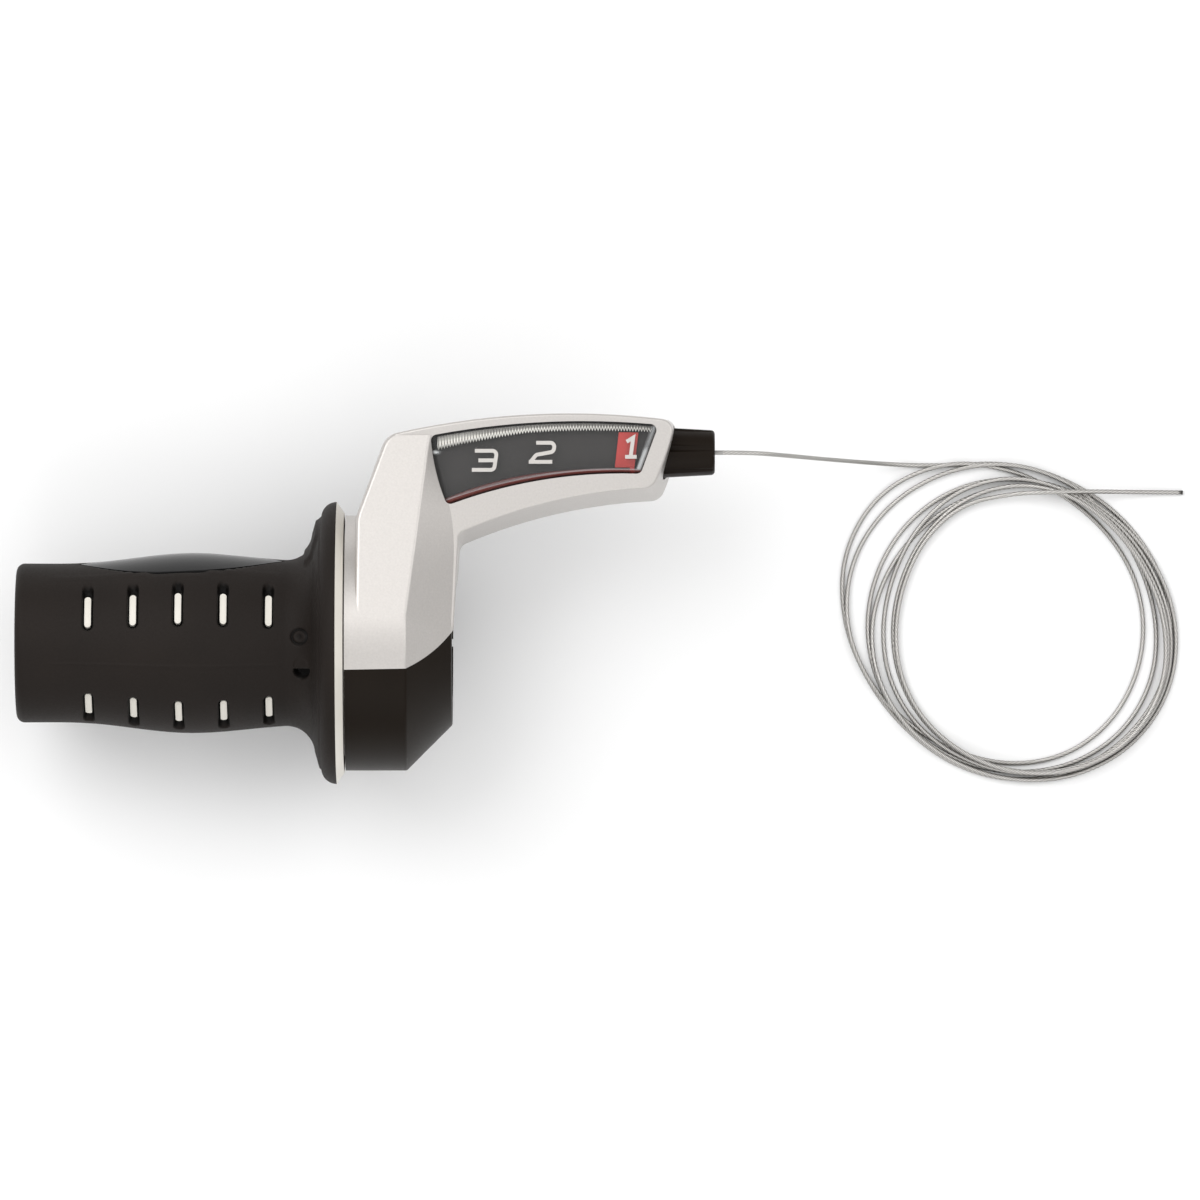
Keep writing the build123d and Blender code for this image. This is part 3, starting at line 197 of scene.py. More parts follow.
def laid_heights(line, lead_count):
    """Heights in mm of wire laid along line over itself: over a wire at distance h in plan, its centre
    is sqrt(d^2 - h^2) above that wire's centre, and elsewhere it falls no steeper than SLOPE."""
    thick = CABLE + CLEARANCE
    order = np.arange(len(line))
    plan = line[:, :2]
    gap = np.linalg.norm(plan[:, None] - plan[None], axis=2)
    lift = np.sqrt(np.clip(thick**2 - gap**2, 0, None))
    run = run_along(plan)
    fall = SLOPE * np.abs(run[:, None] - run[None])
    over = (order[:, None] - order[None] > APART) & (gap < thick)
    coiled = order >= lead_count
    heights = np.where(coiled, CABLE / 2, line[:, 2])
    for _ in range(TURNS + 2):
        under = over & (coiled | (heights < ON_GROUND))[None]
        need = np.where(under, heights[None] + lift, CABLE / 2).max(axis=1)
        eased = (need[None] - fall).max(axis=1)
        soft = np.convolve(np.pad(eased, len(SOFTEN) // 2, mode="edge"), SOFTEN, "valid")
        heights = np.where(coiled, np.maximum(soft, need), line[:, 2])
    return heights


# %% [markdown]
# The lead's and the tail's points are the CAD route's own points, above the floor. The coil's points
# stand a little outside its line, because the spline cuts inside its corners.

# %% Points of the route
LEAD = np.array([
    [54.0, 38.0, 35.7], [60.0, 38.0, 35.7], [67.0, 37.4, 32.0], [75.0, 36.8, 18.0],
    [83.0, 36.3, 5.0], [91.0, 35.8, 0.45], [99.0, 35.7, 0.45], [112.7, 36.4, 0.45],
])
TAIL = np.array([[118.5, 30.3, 3.2], [127.0, 30.5, 3.3], [136.0, 30.4, 1.1], [147.1, 30.3, 0.45]])
BOW = 1.0 / np.cos(np.pi / STEPS)
ROUGH_STEPS, FINE_STEPS = 8, 20

turns = np.arange(1, TURNS * STEPS + 1) / STEPS
coil = COIL_CENTRE + BOW * (coil_line(turns) - COIL_CENTRE)
route = np.vstack([LEAD, np.column_stack([coil, np.full(len(coil), CABLE / 2)]), TAIL])
flat = bare_line(route, ROUGH_STEPS)
spans = len(route) - 2
knots = np.clip(np.arange(len(route)) - 0.5, 0, spans) / spans
lead_share = (len(LEAD) - 1.0) / spans
lead_count = int(lead_share * len(flat))
heights = laid_heights(flat, lead_count)
climb = np.interp(knots, np.linspace(0, 1, len(flat)), heights)
route[len(LEAD):, 2] = climb[len(LEAD):]
route[:, 2] += FLOOR
print("coil height", round(float(heights[lead_count:].max()), 2), "mm, points", len(route))

# %% [markdown]
# ## The cable
# The cable is a strand of thin steel wires. A plain tube with a bump would look smooth from close by,
# so its section is a ring with seven small lobes, which turns about the middle line once every lay.
# Ring centres come from the NURBS line, so the tube is as smooth as the line is.

# %% Strand round a line
LAY_LENGTH = 7.0
LOBES = 7
RING = 28
LOBE_DEPTH = 0.18


def strand_tube(line):
    """Rings round a line: radius = R (1 - depth (1 - cos(n a)) / 2) at angle a + 2 pi s / lay, in the plane
    of the level side vector and the vector square to it and to the line."""
    along = np.gradient(line, axis=0)
    along /= np.linalg.norm(along, axis=1)[:, None]
    side = np.column_stack([-along[:, 1], along[:, 0], np.zeros(len(line))])
    side /= np.linalg.norm(side, axis=1)[:, None]
    up = np.cross(along, side)
    around = np.linspace(0, 2 * np.pi, RING, endpoint=False)
    valley = (1 - np.cos(LOBES * around)) / 2
    radius = CABLE / 2 * (1 - LOBE_DEPTH * valley)
    angle = around[None] + 2 * np.pi * run_along(line)[:, None] / LAY_LENGTH
    return (line[:, None] + (radius * np.cos(angle))[..., None] * side[:, None]
            + (radius * np.sin(angle))[..., None] * up[:, None]), valley


# %% [markdown]
# Each point of the cable keeps a shade, most of it painted: painted shade between two wires where they touch,
# painted shade on the flanks so that only the top of the wire stays bright, and the cut end is dark all
# round. A second ring close to the first keeps the smooth shading of the tube off its flat cap.

# %% Inner cable
VALLEY_SHADE, FLANK_SHADE = 0.8, 0.6
TIP, TIP_FADE = 1.0, 0.6
CAP_EDGE = 0.02

path = bare_line(route, FINE_STEPS)
path = np.insert(path, 1, path[0] + CAP_EDGE * (path[1] - path[0]), axis=0)
rings, valley = strand_tube(path)
cable = grid_mesh("inner_cable", capped(rings) * MM, wrap_columns=True)
to_end = run_along(path)[-1] - np.pad(run_along(path), 1, mode="edge")
cut_end = 1 - smooth_step(TIP_FADE * TIP, TIP, to_end)
above = np.abs(rings[:, :, 2] - path[:, None, 2]) / (CABLE / 2)
painted_flank_shade = 1 - np.pad(above, ((1, 1), (0, 0)), mode="edge")
# painted shade: darker in the valleys between the wires and on the flanks of the strand
painted_wire_shade = np.maximum(VALLEY_SHADE * valley[None], FLANK_SHADE * painted_flank_shade)
keep_value(cable, "shade", np.maximum(painted_wire_shade, cut_end[:, None]))
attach(cable, "housing")
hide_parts("cable_lead", "cable_coil", "cable_tail")

# %% [markdown]
# ## Rubber sleeve
# The sleeve is moulded rubber: a barrel that swells under the palm and flares into a flange. Its profile
# is a curve of arcs and one smooth swell, turned about the bar. Sculpting the slots by hand would make
# each one different, so every hollow is a distance field: the surface sinks where a point lies inside a
# slot's outline, and the change from outside to inside gives the soft lip of moulded rubber.

# %% Sleeve sizes
GRIP_END, RING_START = -87.1, -23.1
TUBE_R, FLANGE_R, BORE_GAP = 13.0, 28.2, 0.02
END_R, NOSE = 14.3, 1.6
SWELL_X = np.array([-85.5, -72.1, -53.1, -33.3])
SWELL_R = np.array([15.9, 16.1, 18.0, 16.6])
SWELL_SLOPE = np.array([0.0, 0.071, 0.021, -0.06])
FLARE_MIDDLE, FLARE_TOP = (RING_START - 6.6, 17.8), (RING_START - 4.4, 21.8)
CHEEK_TOP = (RING_START - 3.5, 25.0)
RIM_FOOT, RIM_MIDDLE, RIM_TOP = (RING_START - 3.1, 25.4), (RING_START - 2.0, 27.5), (RING_START, FLANGE_R)
SLOT_MIDDLE, SLOT_PITCH, SLOT_FIRST, SLOT_TURN = -54.5, 9.0, 24.5, 79.0
SLOT_X = SLOT_MIDDLE + SLOT_PITCH * np.arange(-2, 3)
SLOT_ANGLE = np.radians(SLOT_FIRST - SLOT_TURN * np.arange(4))
SLOT_LENGTH, SLOT_WIDTH, SLOT_DEPTH, SLOT_SHIFT = 9.6, 2.1, 1.7, 0.6
INLAY_ANGLE, INLAY_X = np.radians(79.0), -54.1
INLAY_HALF_LENGTH, INLAY_HALF_WIDTH, INLAY_DEPTH = 20.2, 7.8, 0.85
SLOT_LIP, INLAY_LIP = (-0.38, 0.22), (-0.25, 0.3)
FAR = 99.0
print("slots:", len(SLOT_X) * len(SLOT_ANGLE))


# %% Curves of the profile
def three_point_arc(start, via, end, count):
    """Points on the circle through three points: its centre is as far from each of them."""
    start, via, end = np.array(start), np.array(via), np.array(end)
    rows = 2 * np.array([via - start, end - start])
    centre = np.linalg.solve(rows, [via @ via - start @ start, end @ end - start @ start])
    first, last = start - centre, end - centre
    angles = np.linspace(np.arctan2(first[1], first[0]), np.arctan2(last[1], last[0]), count)
    return centre + np.hypot(*first) * np.column_stack([np.cos(angles), np.sin(angles)])


def swell(x):
    """Barrel radius at x: cubic pieces between the knots, each a (1+2t)(1-t)^2 + m t(1-t)^2 + its mirror."""
    piece = np.clip(np.searchsorted(SWELL_X, x) - 1, 0, len(SWELL_X) - 2)
    width = SWELL_X[piece + 1] - SWELL_X[piece]
    t = (x - SWELL_X[piece]) / width
    return (SWELL_R[piece] * (1 + 2 * t) * (1 - t) ** 2 + SWELL_SLOPE[piece] * width * t * (1 - t) ** 2
            + SWELL_R[piece + 1] * (3 - 2 * t) * t**2 - SWELL_SLOPE[piece + 1] * width * (1 - t) * t**2)


def graded(low, high, count, crowd):
    """Stations from low to high that lie closer together where crowd(x) is large."""
    fine = np.linspace(low, high, 4000)
    share = np.append(0, np.cumsum(crowd(fine)[1:]))
    return np.interp(np.linspace(0, share[-1], count), share, fine)


def near(value, centres, reach):
    """1 at any of the centres, falling to 0 away from them as exp(-(d / reach)^4)."""
    gap = np.abs(value[:, None] - np.atleast_1d(centres)[None]).min(axis=1)
    return np.exp(-((gap / reach) ** 4))


# %% Profile of the sleeve
NOSE_STATIONS, BARREL_STATIONS, FLARE_STATIONS, CHEEK_STATIONS, RIM_STATIONS = 10, 250, 56, 12, 16
EVEN_SHARE, SLOT_REACH = 0.25, 1.6

turn = np.linspace(0, np.pi / 2, NOSE_STATIONS)
nose = np.column_stack([GRIP_END + NOSE - NOSE * np.cos(turn), END_R + NOSE * np.sin(turn)])
barrel_x = graded(SWELL_X[0], SWELL_X[-1], BARREL_STATIONS,
                  lambda x: EVEN_SHARE + near(x, SLOT_X, SLOT_REACH))
barrel = np.column_stack([barrel_x, swell(barrel_x)])
flare = three_point_arc(barrel[-1], FLARE_MIDDLE, FLARE_TOP, FLARE_STATIONS)
cheek = np.linspace(flare[-1], CHEEK_TOP, CHEEK_STATIONS)
rim = three_point_arc(RIM_FOOT, RIM_MIDDLE, RIM_TOP, RIM_STATIONS)
profile = np.vstack([nose, barrel[1:], flare[1:], cheek[1:], rim])
slope = np.gradient(profile, axis=0)
out = np.column_stack([-slope[:, 1], slope[:, 0]]) / np.hypot(slope[:, 0], slope[:, 1])[:, None]
print("profile points", len(profile))


# %% Hollows of the sleeve
def slot_depth(x, angle, radius):
    """Depth of the slots: full inside a rounded slot, nothing outside it, a soft lip between. Each slot is
    shifted away from the top of the grip, so that its outer end stays open beyond the bar in it."""
    across = np.abs(x[..., None] - SLOT_X).min(axis=-1)
    turned = angle[..., None] - SLOT_ANGLE
    offset = radius[..., None] * np.sin(turned) - SLOT_SHIFT * np.sign(np.sin(SLOT_ANGLE))
    along = np.where(np.cos(turned) > 0, np.abs(offset), FAR).min(axis=-1)
    straight = np.maximum(along - (SLOT_LENGTH - SLOT_WIDTH) / 2, 0.0)
    edge = np.hypot(across, straight) - SLOT_WIDTH / 2
    return SLOT_DEPTH * (1 - smooth_step(*SLOT_LIP, edge))


def inlay_depth(x, angle, radius):
    """Depth of the inlay's bed: the overlap of two discs, as an eye is."""
    turned = angle - INLAY_ANGLE
    side = np.where(np.cos(turned) > 0, radius * np.sin(turned), FAR)
    disc = (INLAY_HALF_LENGTH**2 + INLAY_HALF_WIDTH**2) / (2 * INLAY_HALF_WIDTH)
    shift = disc - INLAY_HALF_WIDTH
    edge = np.hypot(x - INLAY_X, np.abs(side) + shift) - disc
    return INLAY_DEPTH * (1 - smooth_step(*INLAY_LIP, edge))


# %% [markdown]
# The mould leaves small marks near the flange and along the barrel. Each could be a piece of its own, but on
# the real sleeve they are one skin, so they are heights that are added to the same surface. A seam is given
# by its place and width in degrees and its height.

# %% Marks of the mould
RING_MARK, RING_R, RING_WIDTH, RING_DEPTH = (-30.4, 1.3), 1.45, 0.24, 0.45
DOT_R, DOT_DEPTH = 0.5, 0.3
MOON, MOON_R, MOON_HEIGHT, MOON_CUT = (-30.0, -4.4), 1.4, 0.25, -4.9
POCKET, POCKET_R, POCKET_DEPTH, POCKET_CUT = (-29.9, -5.4), 1.55, 1.8, -5.2
SEAMS = [(-15.0, 0.9, 0.12), (54.0, 2.2, 0.10)]
SEAM_START, SEAM_END = (-82.0, -78.0), (-36.0, -33.0)
PAD_ANGLE, PAD_HALF, PAD_IN, PAD_OUT, PAD_HEIGHT = 90.0, 30.75, 18.0, 24.65, 0.55


def mould_marks(x, angle, radius):
    """Height of small marks: a groove ring with a dot, a raised half moon with a pocket below it, two parting
    lines along the barrel and a raised pad on the back of the flange. Lines are exp(-(d / width)^2), and
    areas are smooth steps over their edges."""
    y = np.where(np.cos(angle) > 0, radius * np.sin(angle), FAR)
    degrees = np.degrees(angle)
    ring = np.hypot(x - RING_MARK[0], y - RING_MARK[1])
    moon = np.hypot(x - MOON[0], y - MOON[1])
    pocket = np.hypot(x - POCKET[0], y - POCKET[1])
    height = -RING_DEPTH * np.exp(-(((ring - RING_R) / RING_WIDTH) ** 2))
    height -= DOT_DEPTH * np.exp(-((ring / DOT_R) ** 2))
    height += MOON_HEIGHT * (1 - smooth_step(-0.2, 0.2, moon - MOON_R)) * smooth_step(-0.3, 0.3, y - MOON_CUT)
    sunk = 1 - smooth_step(-0.2, 0.2, pocket - POCKET_R)
    height -= POCKET_DEPTH * sunk * smooth_step(-0.15, 0.15, POCKET_CUT - y)
    on_barrel = smooth_step(*SEAM_START, x) * (1 - smooth_step(*SEAM_END, x))
    for place, width, rise in SEAMS:
        height += rise * np.exp(-(((degrees - place) / width) ** 2)) * on_barrel
    pad = 1 - smooth_step(-1.25, 1.25, np.abs(degrees - PAD_ANGLE) - PAD_HALF)
    pad *= smooth_step(-0.4, 0.4, radius - PAD_IN) * (1 - smooth_step(-0.25, 0.25, radius - PAD_OUT))
    return height + PAD_HEIGHT * pad


# %% [markdown]
# The grid crowds its stations where the slots and marks are, and each point moves along the profile's own
# normal by its depth. Each point also keeps how deep it lies, so that the rubber is painted darker there:
# painted shade in the hollows, which get little light.

# %% Sleeve surface
ANGLE_STATIONS = 268
FULL_SHADE_DEPTH = 0.4
HOLLOW_REACH = 6
MARK_ANGLE = np.array([0.075, -0.30])
EVEN_TURN, ROW_REACH, MARK_CROWD, MARK_REACH = 0.35, 0.34, 2.0, 0.13

wrapped = np.append(SLOT_ANGLE, INLAY_ANGLE)
wrapped = (wrapped + np.pi) % (2 * np.pi) - np.pi
angles = graded(-np.pi, np.pi, ANGLE_STATIONS + 1, lambda a: (
    EVEN_TURN + near(a, wrapped, ROW_REACH) + MARK_CROWD * near(a, MARK_ANGLE, MARK_REACH)))[:-1]
x, angle = np.meshgrid(profile[:, 0], angles, indexing="ij")
radius = profile[:, 1:].repeat(ANGLE_STATIONS, axis=1)
hollowed = ((x > SWELL_X[0]) & (x < SWELL_X[-1] + HOLLOW_REACH)).astype(float)
depth = hollowed * np.maximum(slot_depth(x, angle, radius), inlay_depth(x, angle, radius))
lift = mould_marks(x, angle, radius) - depth
x = x + out[:, :1] * lift
radius = radius + out[:, 1:] * lift
bore = np.array([[RING_START, TUBE_R + BORE_GAP], [GRIP_END, TUBE_R + BORE_GAP]])
x = np.vstack([x, bore[:, :1].repeat(ANGLE_STATIONS, axis=1)])
radius = np.vstack([radius, bore[:, 1:].repeat(ANGLE_STATIONS, axis=1)])
angle = np.vstack([angle, angles[None].repeat(len(bore), axis=0)])
surface = np.stack([x, radius * np.sin(angle), radius * np.cos(angle)], axis=-1)
sleeve = grid_mesh("grip_sleeve", surface[::-1] * MM, wrap_rows=True, wrap_columns=True)
# painted shade: how far each point is sunk, which darkens the rubber in the hollows
hollow = np.clip(-lift / FULL_SHADE_DEPTH, 0.0, 1.0)
keep_value(sleeve, "hollow", np.pad(hollow, ((0, len(bore)), (0, 0)))[::-1])
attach(sleeve, "twist_grip")
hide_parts("rubber_grip")
print("sleeve faces", len(sleeve.data.polygons))

# %% [markdown]
# ## Window
# The window is a clear moulding that sits in the arm with a bevelled edge, and behind its upper edge
# lies a strip of fine prisms that brings light onto the dial. Both are patches between the window's upper
# and lower edges: one parameter runs along the arm, the other from the lower edge to the upper one.

# %% Window outline
WINDOW_LEFT, WINDOW_RIGHT, WINDOW_ARC = -4.2, 41.2, 160.0
APEX_X, APEX_Y = 26.0, 44.2
LOWER_LEFT, LOWER_RIGHT, LOWER_BOW = (-0.9, 27.4), (37.6, 33.7), 2.0
LENS_TOP, LENS_BOTTOM, STRIP_BOTTOM = 15.75, 14.65, 13.9


def window_top(x):
    """Upper edge of the window: an arc with its highest point at the apex."""
    return APEX_Y - WINDOW_ARC + np.sqrt(WINDOW_ARC**2 - (x - APEX_X) ** 2)


def lower_edge(share):
    """Lower edge of the window at a share of its length: a parabola through both corners."""
    left, right = np.array(LOWER_LEFT), np.array(LOWER_RIGHT)
    bow = np.array([0.0, LOWER_BOW]) * (4 * share * (1 - share))[..., None]
    return left + (right - left) * share[..., None] + bow


# %% Window pane
ALONG, ACROSS = 120, 48
END_BOW = 0.65
BEVEL_WIDTH, BEVEL_DEPTH = 0.8, 0.55


def gap_to(points, edge):
    """Distance in plan from each of the points to the nearest point of an edge."""
    return np.linalg.norm(points[:, :, None] - edge[None, None], axis=-1).min(axis=-1)


share, rise = np.meshgrid(np.linspace(0, 1, ALONG), np.linspace(0, 1, ACROSS), indexing="ij")
upper_x = WINDOW_LEFT + (WINDOW_RIGHT - WINDOW_LEFT) * share
upper = np.stack([upper_x, window_top(upper_x)], axis=-1)
plan = lower_edge(share) + (upper - lower_edge(share)) * rise[..., None]
plan[..., 0] -= END_BOW * 4 * rise * (1 - rise) * (1 - share) ** 3
border = np.vstack([plan[0], plan[:, -1], plan[-1], plan[:, 0]])
bevel = 1 - smooth_step(0.0, BEVEL_WIDTH, gap_to(plan, border))
pane_points = np.concatenate([plan, (LENS_TOP - BEVEL_DEPTH * bevel)[..., None]], axis=-1)
pane_points = np.pad(pane_points, ((1, 1), (1, 1), (0, 0)), mode="edge")
pane_points[[0, -1], :, 2] = LENS_BOTTOM
pane_points[:, [0, -1], 2] = LENS_BOTTOM
pane = grid_mesh("window_pane", capped(pane_points)[::-1] * MM, wrap_columns=True)
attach(pane, "housing")
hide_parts("window_lens")
print("pane faces", len(pane.data.polygons))

# %% [markdown]
# The pane isn't equally clear. Painted highlights lie on its right end and on a small hook at its left,
# where the bevel catches the light, a painted reflection of the red filament below lies in a band along its
# lower edge, and that edge itself is a painted shadow line. Refracting glass could show some of this, but
# numbers that touch such glass turn black, so the pane keeps where its painted highlights and reflection
# are seen, where the red reflection lies and where its shadow line runs.

# %% Values of the pane
HOOK, HOOK_SIZE = (-3.3, 38.0), (0.7, 0.25)
END_FROM, END_TO, RIM_SHADOW_EDGE = (0.2, 0.45), (0.8, 1.3), (0.2, 0.5)
END_RISE, END_TONE = [0.0, 0.1, 0.45, 0.55, 1.0], [0.2, 0.7, 0.7, 0.3, 0.4]
RED_REFLECTION_WIDTH, RED_REFLECTION_TAPER, RED_REFLECTION_FADE = 0.9, 0.3, 0.4

end_gap, low_gap = gap_to(plan, plan[-1]), gap_to(plan, plan[:, 0])
# painted highlight on the bevel at the right end
end_highlight = smooth_step(*END_FROM, end_gap) * (1 - smooth_step(*END_TO, end_gap))
end_highlight *= np.interp(rise, END_RISE, END_TONE)
# painted highlight on a small hook at the left end
hook_x, hook_y = (plan[..., 0] - HOOK[0]) / HOOK_SIZE[0], (plan[..., 1] - HOOK[1]) / HOOK_SIZE[1]
hook = np.exp(-(hook_x**2) - hook_y**2)
# painted reflection of the red filament along the lower edge
red_reflection_edge = RED_REFLECTION_WIDTH - RED_REFLECTION_TAPER * share
painted_red_reflection = 1 - smooth_step(red_reflection_edge, red_reflection_edge + RED_REFLECTION_FADE, low_gap)
# painted shadow line along the lower edge
painted_rim_shadow = 1 - smooth_step(*RIM_SHADOW_EDGE, low_gap)
# where the pane shows its colour: painted highlights and the painted red reflection
seen = np.maximum.reduce([end_highlight, hook, painted_red_reflection])
for name, values in [("edge", seen), ("painted_red_reflection", painted_red_reflection), ("rim", painted_rim_shadow)]:
    keep_value(pane, name, np.pad(values, ((2, 2), (1, 1)))[::-1])
print("part of the pane that is seen:", round(float(seen.mean()), 3))

# %% [markdown]
# The prism strip is a row of small teeth. Its lower edge and its height follow the same triangle wave.

# %% Prism strip
TEETH, TOOTH_STEPS, UP_STEPS = 74, 8, 13
STRIP_START, STRIP_END = WINDOW_LEFT + 1.3, WINDOW_RIGHT - 1.4
STRIP_X = [STRIP_START, 6.0, 15.0, 30.0, STRIP_END]
STRIP_WIDTH = [2.8, 2.2, 1.6, 1.5, 1.2]
STRIP_INSET, TOOTH_REACH = 0.45, 0.5
STRIP_LOW, STRIP_BULGE = 0.4, 0.8

steps = np.arange(TEETH * TOOTH_STEPS + 1)
strip_x = STRIP_START + (STRIP_END - STRIP_START) * steps / steps[-1]
wave = np.abs((steps / TOOTH_STEPS) % 1.0 * 2 - 1)[:, None]
top_edge = window_top(strip_x) - STRIP_INSET
low_edge = top_edge - np.interp(strip_x, STRIP_X, STRIP_WIDTH)
up = np.concatenate([[0.0], np.linspace(0, 1, UP_STEPS), [1.0]])[None]
edge_x = strip_x[:, None].repeat(up.shape[1], axis=1)
strip_y = low_edge[:, None] + TOOTH_REACH * wave * (1 - up) + (top_edge - low_edge)[:, None] * up
strip_z = STRIP_BOTTOM + (STRIP_LOW + STRIP_BULGE * up * (1 - up)) * (1 - wave / 2)
strip_z[:, [0, -1]] = STRIP_BOTTOM
strip_points = np.stack([edge_x, strip_y, strip_z], axis=-1)
prisms = grid_mesh("prism_strip", capped(strip_points)[::-1] * MM, wrap_columns=True)
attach(prisms, "housing")
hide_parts("light_strip")
print("strip faces", len(prisms.data.polygons))

# %% [markdown]
# Light meets the prisms in three ways: a bright zigzag along their lower edge, a row of small glints above
# it, and upright bars at the left end, where the strip is wide. It is darker between two teeth and in a band
# below its upper edge. A path tracer could find this from real prisms, but only with far more samples, so the
# brightness is worked out here and kept on the points.

# %% Brightness of the prisms
STRIP_TONE = [0.26, 0.30, 0.42, 0.22, 0.16]
ZIGZAG_LOW, ZIGZAG_RISE, ZIGZAG_WIDTH = 0.10, 0.34, 0.15
GLINT_PLACE, GLINT_WIDTH, GLINT_TONE = 0.72, 0.14, 0.3
BAR_TONE, GAP_TONE, DIM_SHARE, LEFT_FADE = 0.6, 0.3, 0.75, 0.6
LEFT_END, BAR_FROM, BAR_TO = (1.0, 9.0), (0.05, 0.2), (0.5, 0.7)
DIM_FROM, DIM_TO = (0.45, 0.6), (0.85, 0.95)

at_left = 1 - smooth_step(*LEFT_END, edge_x)
zigzag = np.exp(-(((up - ZIGZAG_LOW - ZIGZAG_RISE * wave) / ZIGZAG_WIDTH) ** 2)) * (1 - LEFT_FADE * at_left)
glints = GLINT_TONE * np.exp(-(((up - GLINT_PLACE) / GLINT_WIDTH) ** 2)) * wave
bars = BAR_TONE * at_left * wave * smooth_step(*BAR_FROM, up) * (1 - smooth_step(*BAR_TO, up))
gaps = GAP_TONE * (1 - wave) * (up < 0.5)
dim = 1 - DIM_SHARE * (1 - at_left) * smooth_step(*DIM_FROM, up) * (1 - smooth_step(*DIM_TO, up))
tone = np.clip(dim * np.interp(edge_x, STRIP_X, STRIP_TONE) + zigzag + glints + bars - gaps, 0, 1)
keep_value(prisms, "bright", np.pad(tone, ((1, 1), (0, 0)), mode="edge")[::-1])
print("mean brightness of the strip:", round(float(tone.mean()), 3))

# %% [markdown]
# ## Finishes
# Each finish is a node material on Object coordinates, so that its grain stays on the piece when it
# moves. A helper makes the usual chain: one noise for a slow change of colour, one for the grain that
# changes the roughness and raises a bump. Image textures could do the same, but they need a flat layout of
# each piece, and noise in space needs none.


# %% Finish helpers
def finish(name, light, dark, rough, grain, bump, metallic=0.0, patch=90.0, coat=0.0, specular=0.5):
    """A material whose colour goes from dark to light with a slow noise, and whose roughness and bump follow
    a fine noise. Grain and patch are in waves per metre, bump is in metres."""
    material = bpy.data.materials.new(name)
    material.use_nodes = True
    tree = material.node_tree
    shader = tree.nodes["Principled BSDF"]
    shader.inputs["Metallic"].default_value = metallic
    shader.inputs["Coat Weight"].default_value = coat
    shader.inputs["Coat Roughness"].default_value = 0.15
    shader.inputs["Specular IOR Level"].default_value = specular
    place = tree.nodes.new("ShaderNodeTexCoord")
    slow = tree.nodes.new("ShaderNodeTexNoise")
    slow.inputs["Scale"].default_value = patch
    slow.inputs["Detail"].default_value = 4.0
    fine = tree.nodes.new("ShaderNodeTexNoise")
    fine.inputs["Scale"].default_value = grain
    fine.inputs["Detail"].default_value = 3.0
    mix = tree.nodes.new("ShaderNodeMix")
    mix.data_type = "RGBA"
    mix.inputs["A"].default_value = (*dark, 1)
    mix.inputs["B"].default_value = (*light, 1)
    gloss = tree.nodes.new("ShaderNodeMapRange")
    gloss.inputs["To Min"].default_value = rough[0]
    gloss.inputs["To Max"].default_value = rough[1]
    relief = tree.nodes.new("ShaderNodeBump")
    relief.inputs["Distance"].default_value = bump
    relief.inputs["Strength"].default_value = 0.6
    tree.links.new(place.outputs["Object"], slow.inputs["Vector"])
    tree.links.new(place.outputs["Object"], fine.inputs["Vector"])
    tree.links.new(slow.outputs["Fac"], mix.inputs["Factor"])
    tree.links.new(mix.outputs["Result"], shader.inputs["Base Color"])
    tree.links.new(fine.outputs["Fac"], gloss.inputs["Value"])
    tree.links.new(gloss.outputs["Result"], shader.inputs["Roughness"])
    tree.links.new(fine.outputs["Fac"], relief.inputs["Height"])
    tree.links.new(relief.outputs["Normal"], shader.inputs["Normal"])
    return material


def read_attribute(material, name):
    """A node of the material that reads one of the mesh's own values."""
    reader = material.node_tree.nodes.new("ShaderNodeAttribute")
    reader.attribute_name = name
    return reader.outputs["Fac"]


def shift_colour(material, name, colour):
    """Mixes a colour into the material's own colour by one of the mesh's values."""
    tree = material.node_tree
    base = tree.nodes["Principled BSDF"].inputs["Base Color"]
    tones = tree.nodes.new("ShaderNodeMix")
    tones.data_type = "RGBA"
    tones.inputs["B"].default_value = (*colour, 1)
    tree.links.new(read_attribute(material, name), tones.inputs["Factor"])
    tree.links.new(base.links[0].from_socket, tones.inputs["A"])
    tree.links.new(tones.outputs["Result"], base)


def wear(material, *names):
    """Gives CAD nodes or pieces one finish."""
    for name in names:
        data = bpy.data.objects[name].data
        data.materials.clear()
        data.materials.append(material)


# %% [markdown]
# The upper shell is plastic with silver paint, so it is mostly metallic, with fine flakes and a thin clear
# coat. The lower shell is bare black plastic. The sleeve's rubber is duller, with painted shade that darkens
# its hollows. The tube under it is cream plastic, and the inlay is glossy.

# %% Shells and grip
silver = finish("silver_paint", (0.61, 0.583, 0.558), (0.50, 0.476, 0.455), (0.34, 0.46), 5200, 0.00001,
                metallic=0.75, patch=2500, coat=0.1)
black = finish("black_plastic", (0.0105, 0.0068, 0.004), (0.0075, 0.0046, 0.0026), (0.34, 0.5), 3800, 0.00002,
               specular=0.1)
rubber = finish("black_rubber", (0.0135, 0.0092, 0.007), (0.008, 0.0054, 0.004), (0.55, 0.75), 2600, 0.00003,
                specular=0.2)
# painted shade: the rubber turns near black where the sleeve is sunk
shift_colour(rubber, "hollow", (0.002, 0.0014, 0.001))
cream = finish("cream_plastic", (0.82, 0.79, 0.72), (0.76, 0.72, 0.64), (0.30, 0.42), 1800, 0.00001)
gloss_black = finish("gloss_black", (0.008, 0.008, 0.008), (0.005, 0.005, 0.005), (0.14, 0.22), 900, 0.000003,
                     specular=0.25)
wear(silver, "housing_cover")
wear(black, "housing_base", "arm_plate", "adjuster_knob")
wear(rubber, "grip_sleeve")
wear(cream, "grip_tube")
wear(gloss_black, "grip_inlay")

# %% [markdown]
# The dial is dark grey plastic with printed numbers, and a red marker slides on it, held by a red filament.

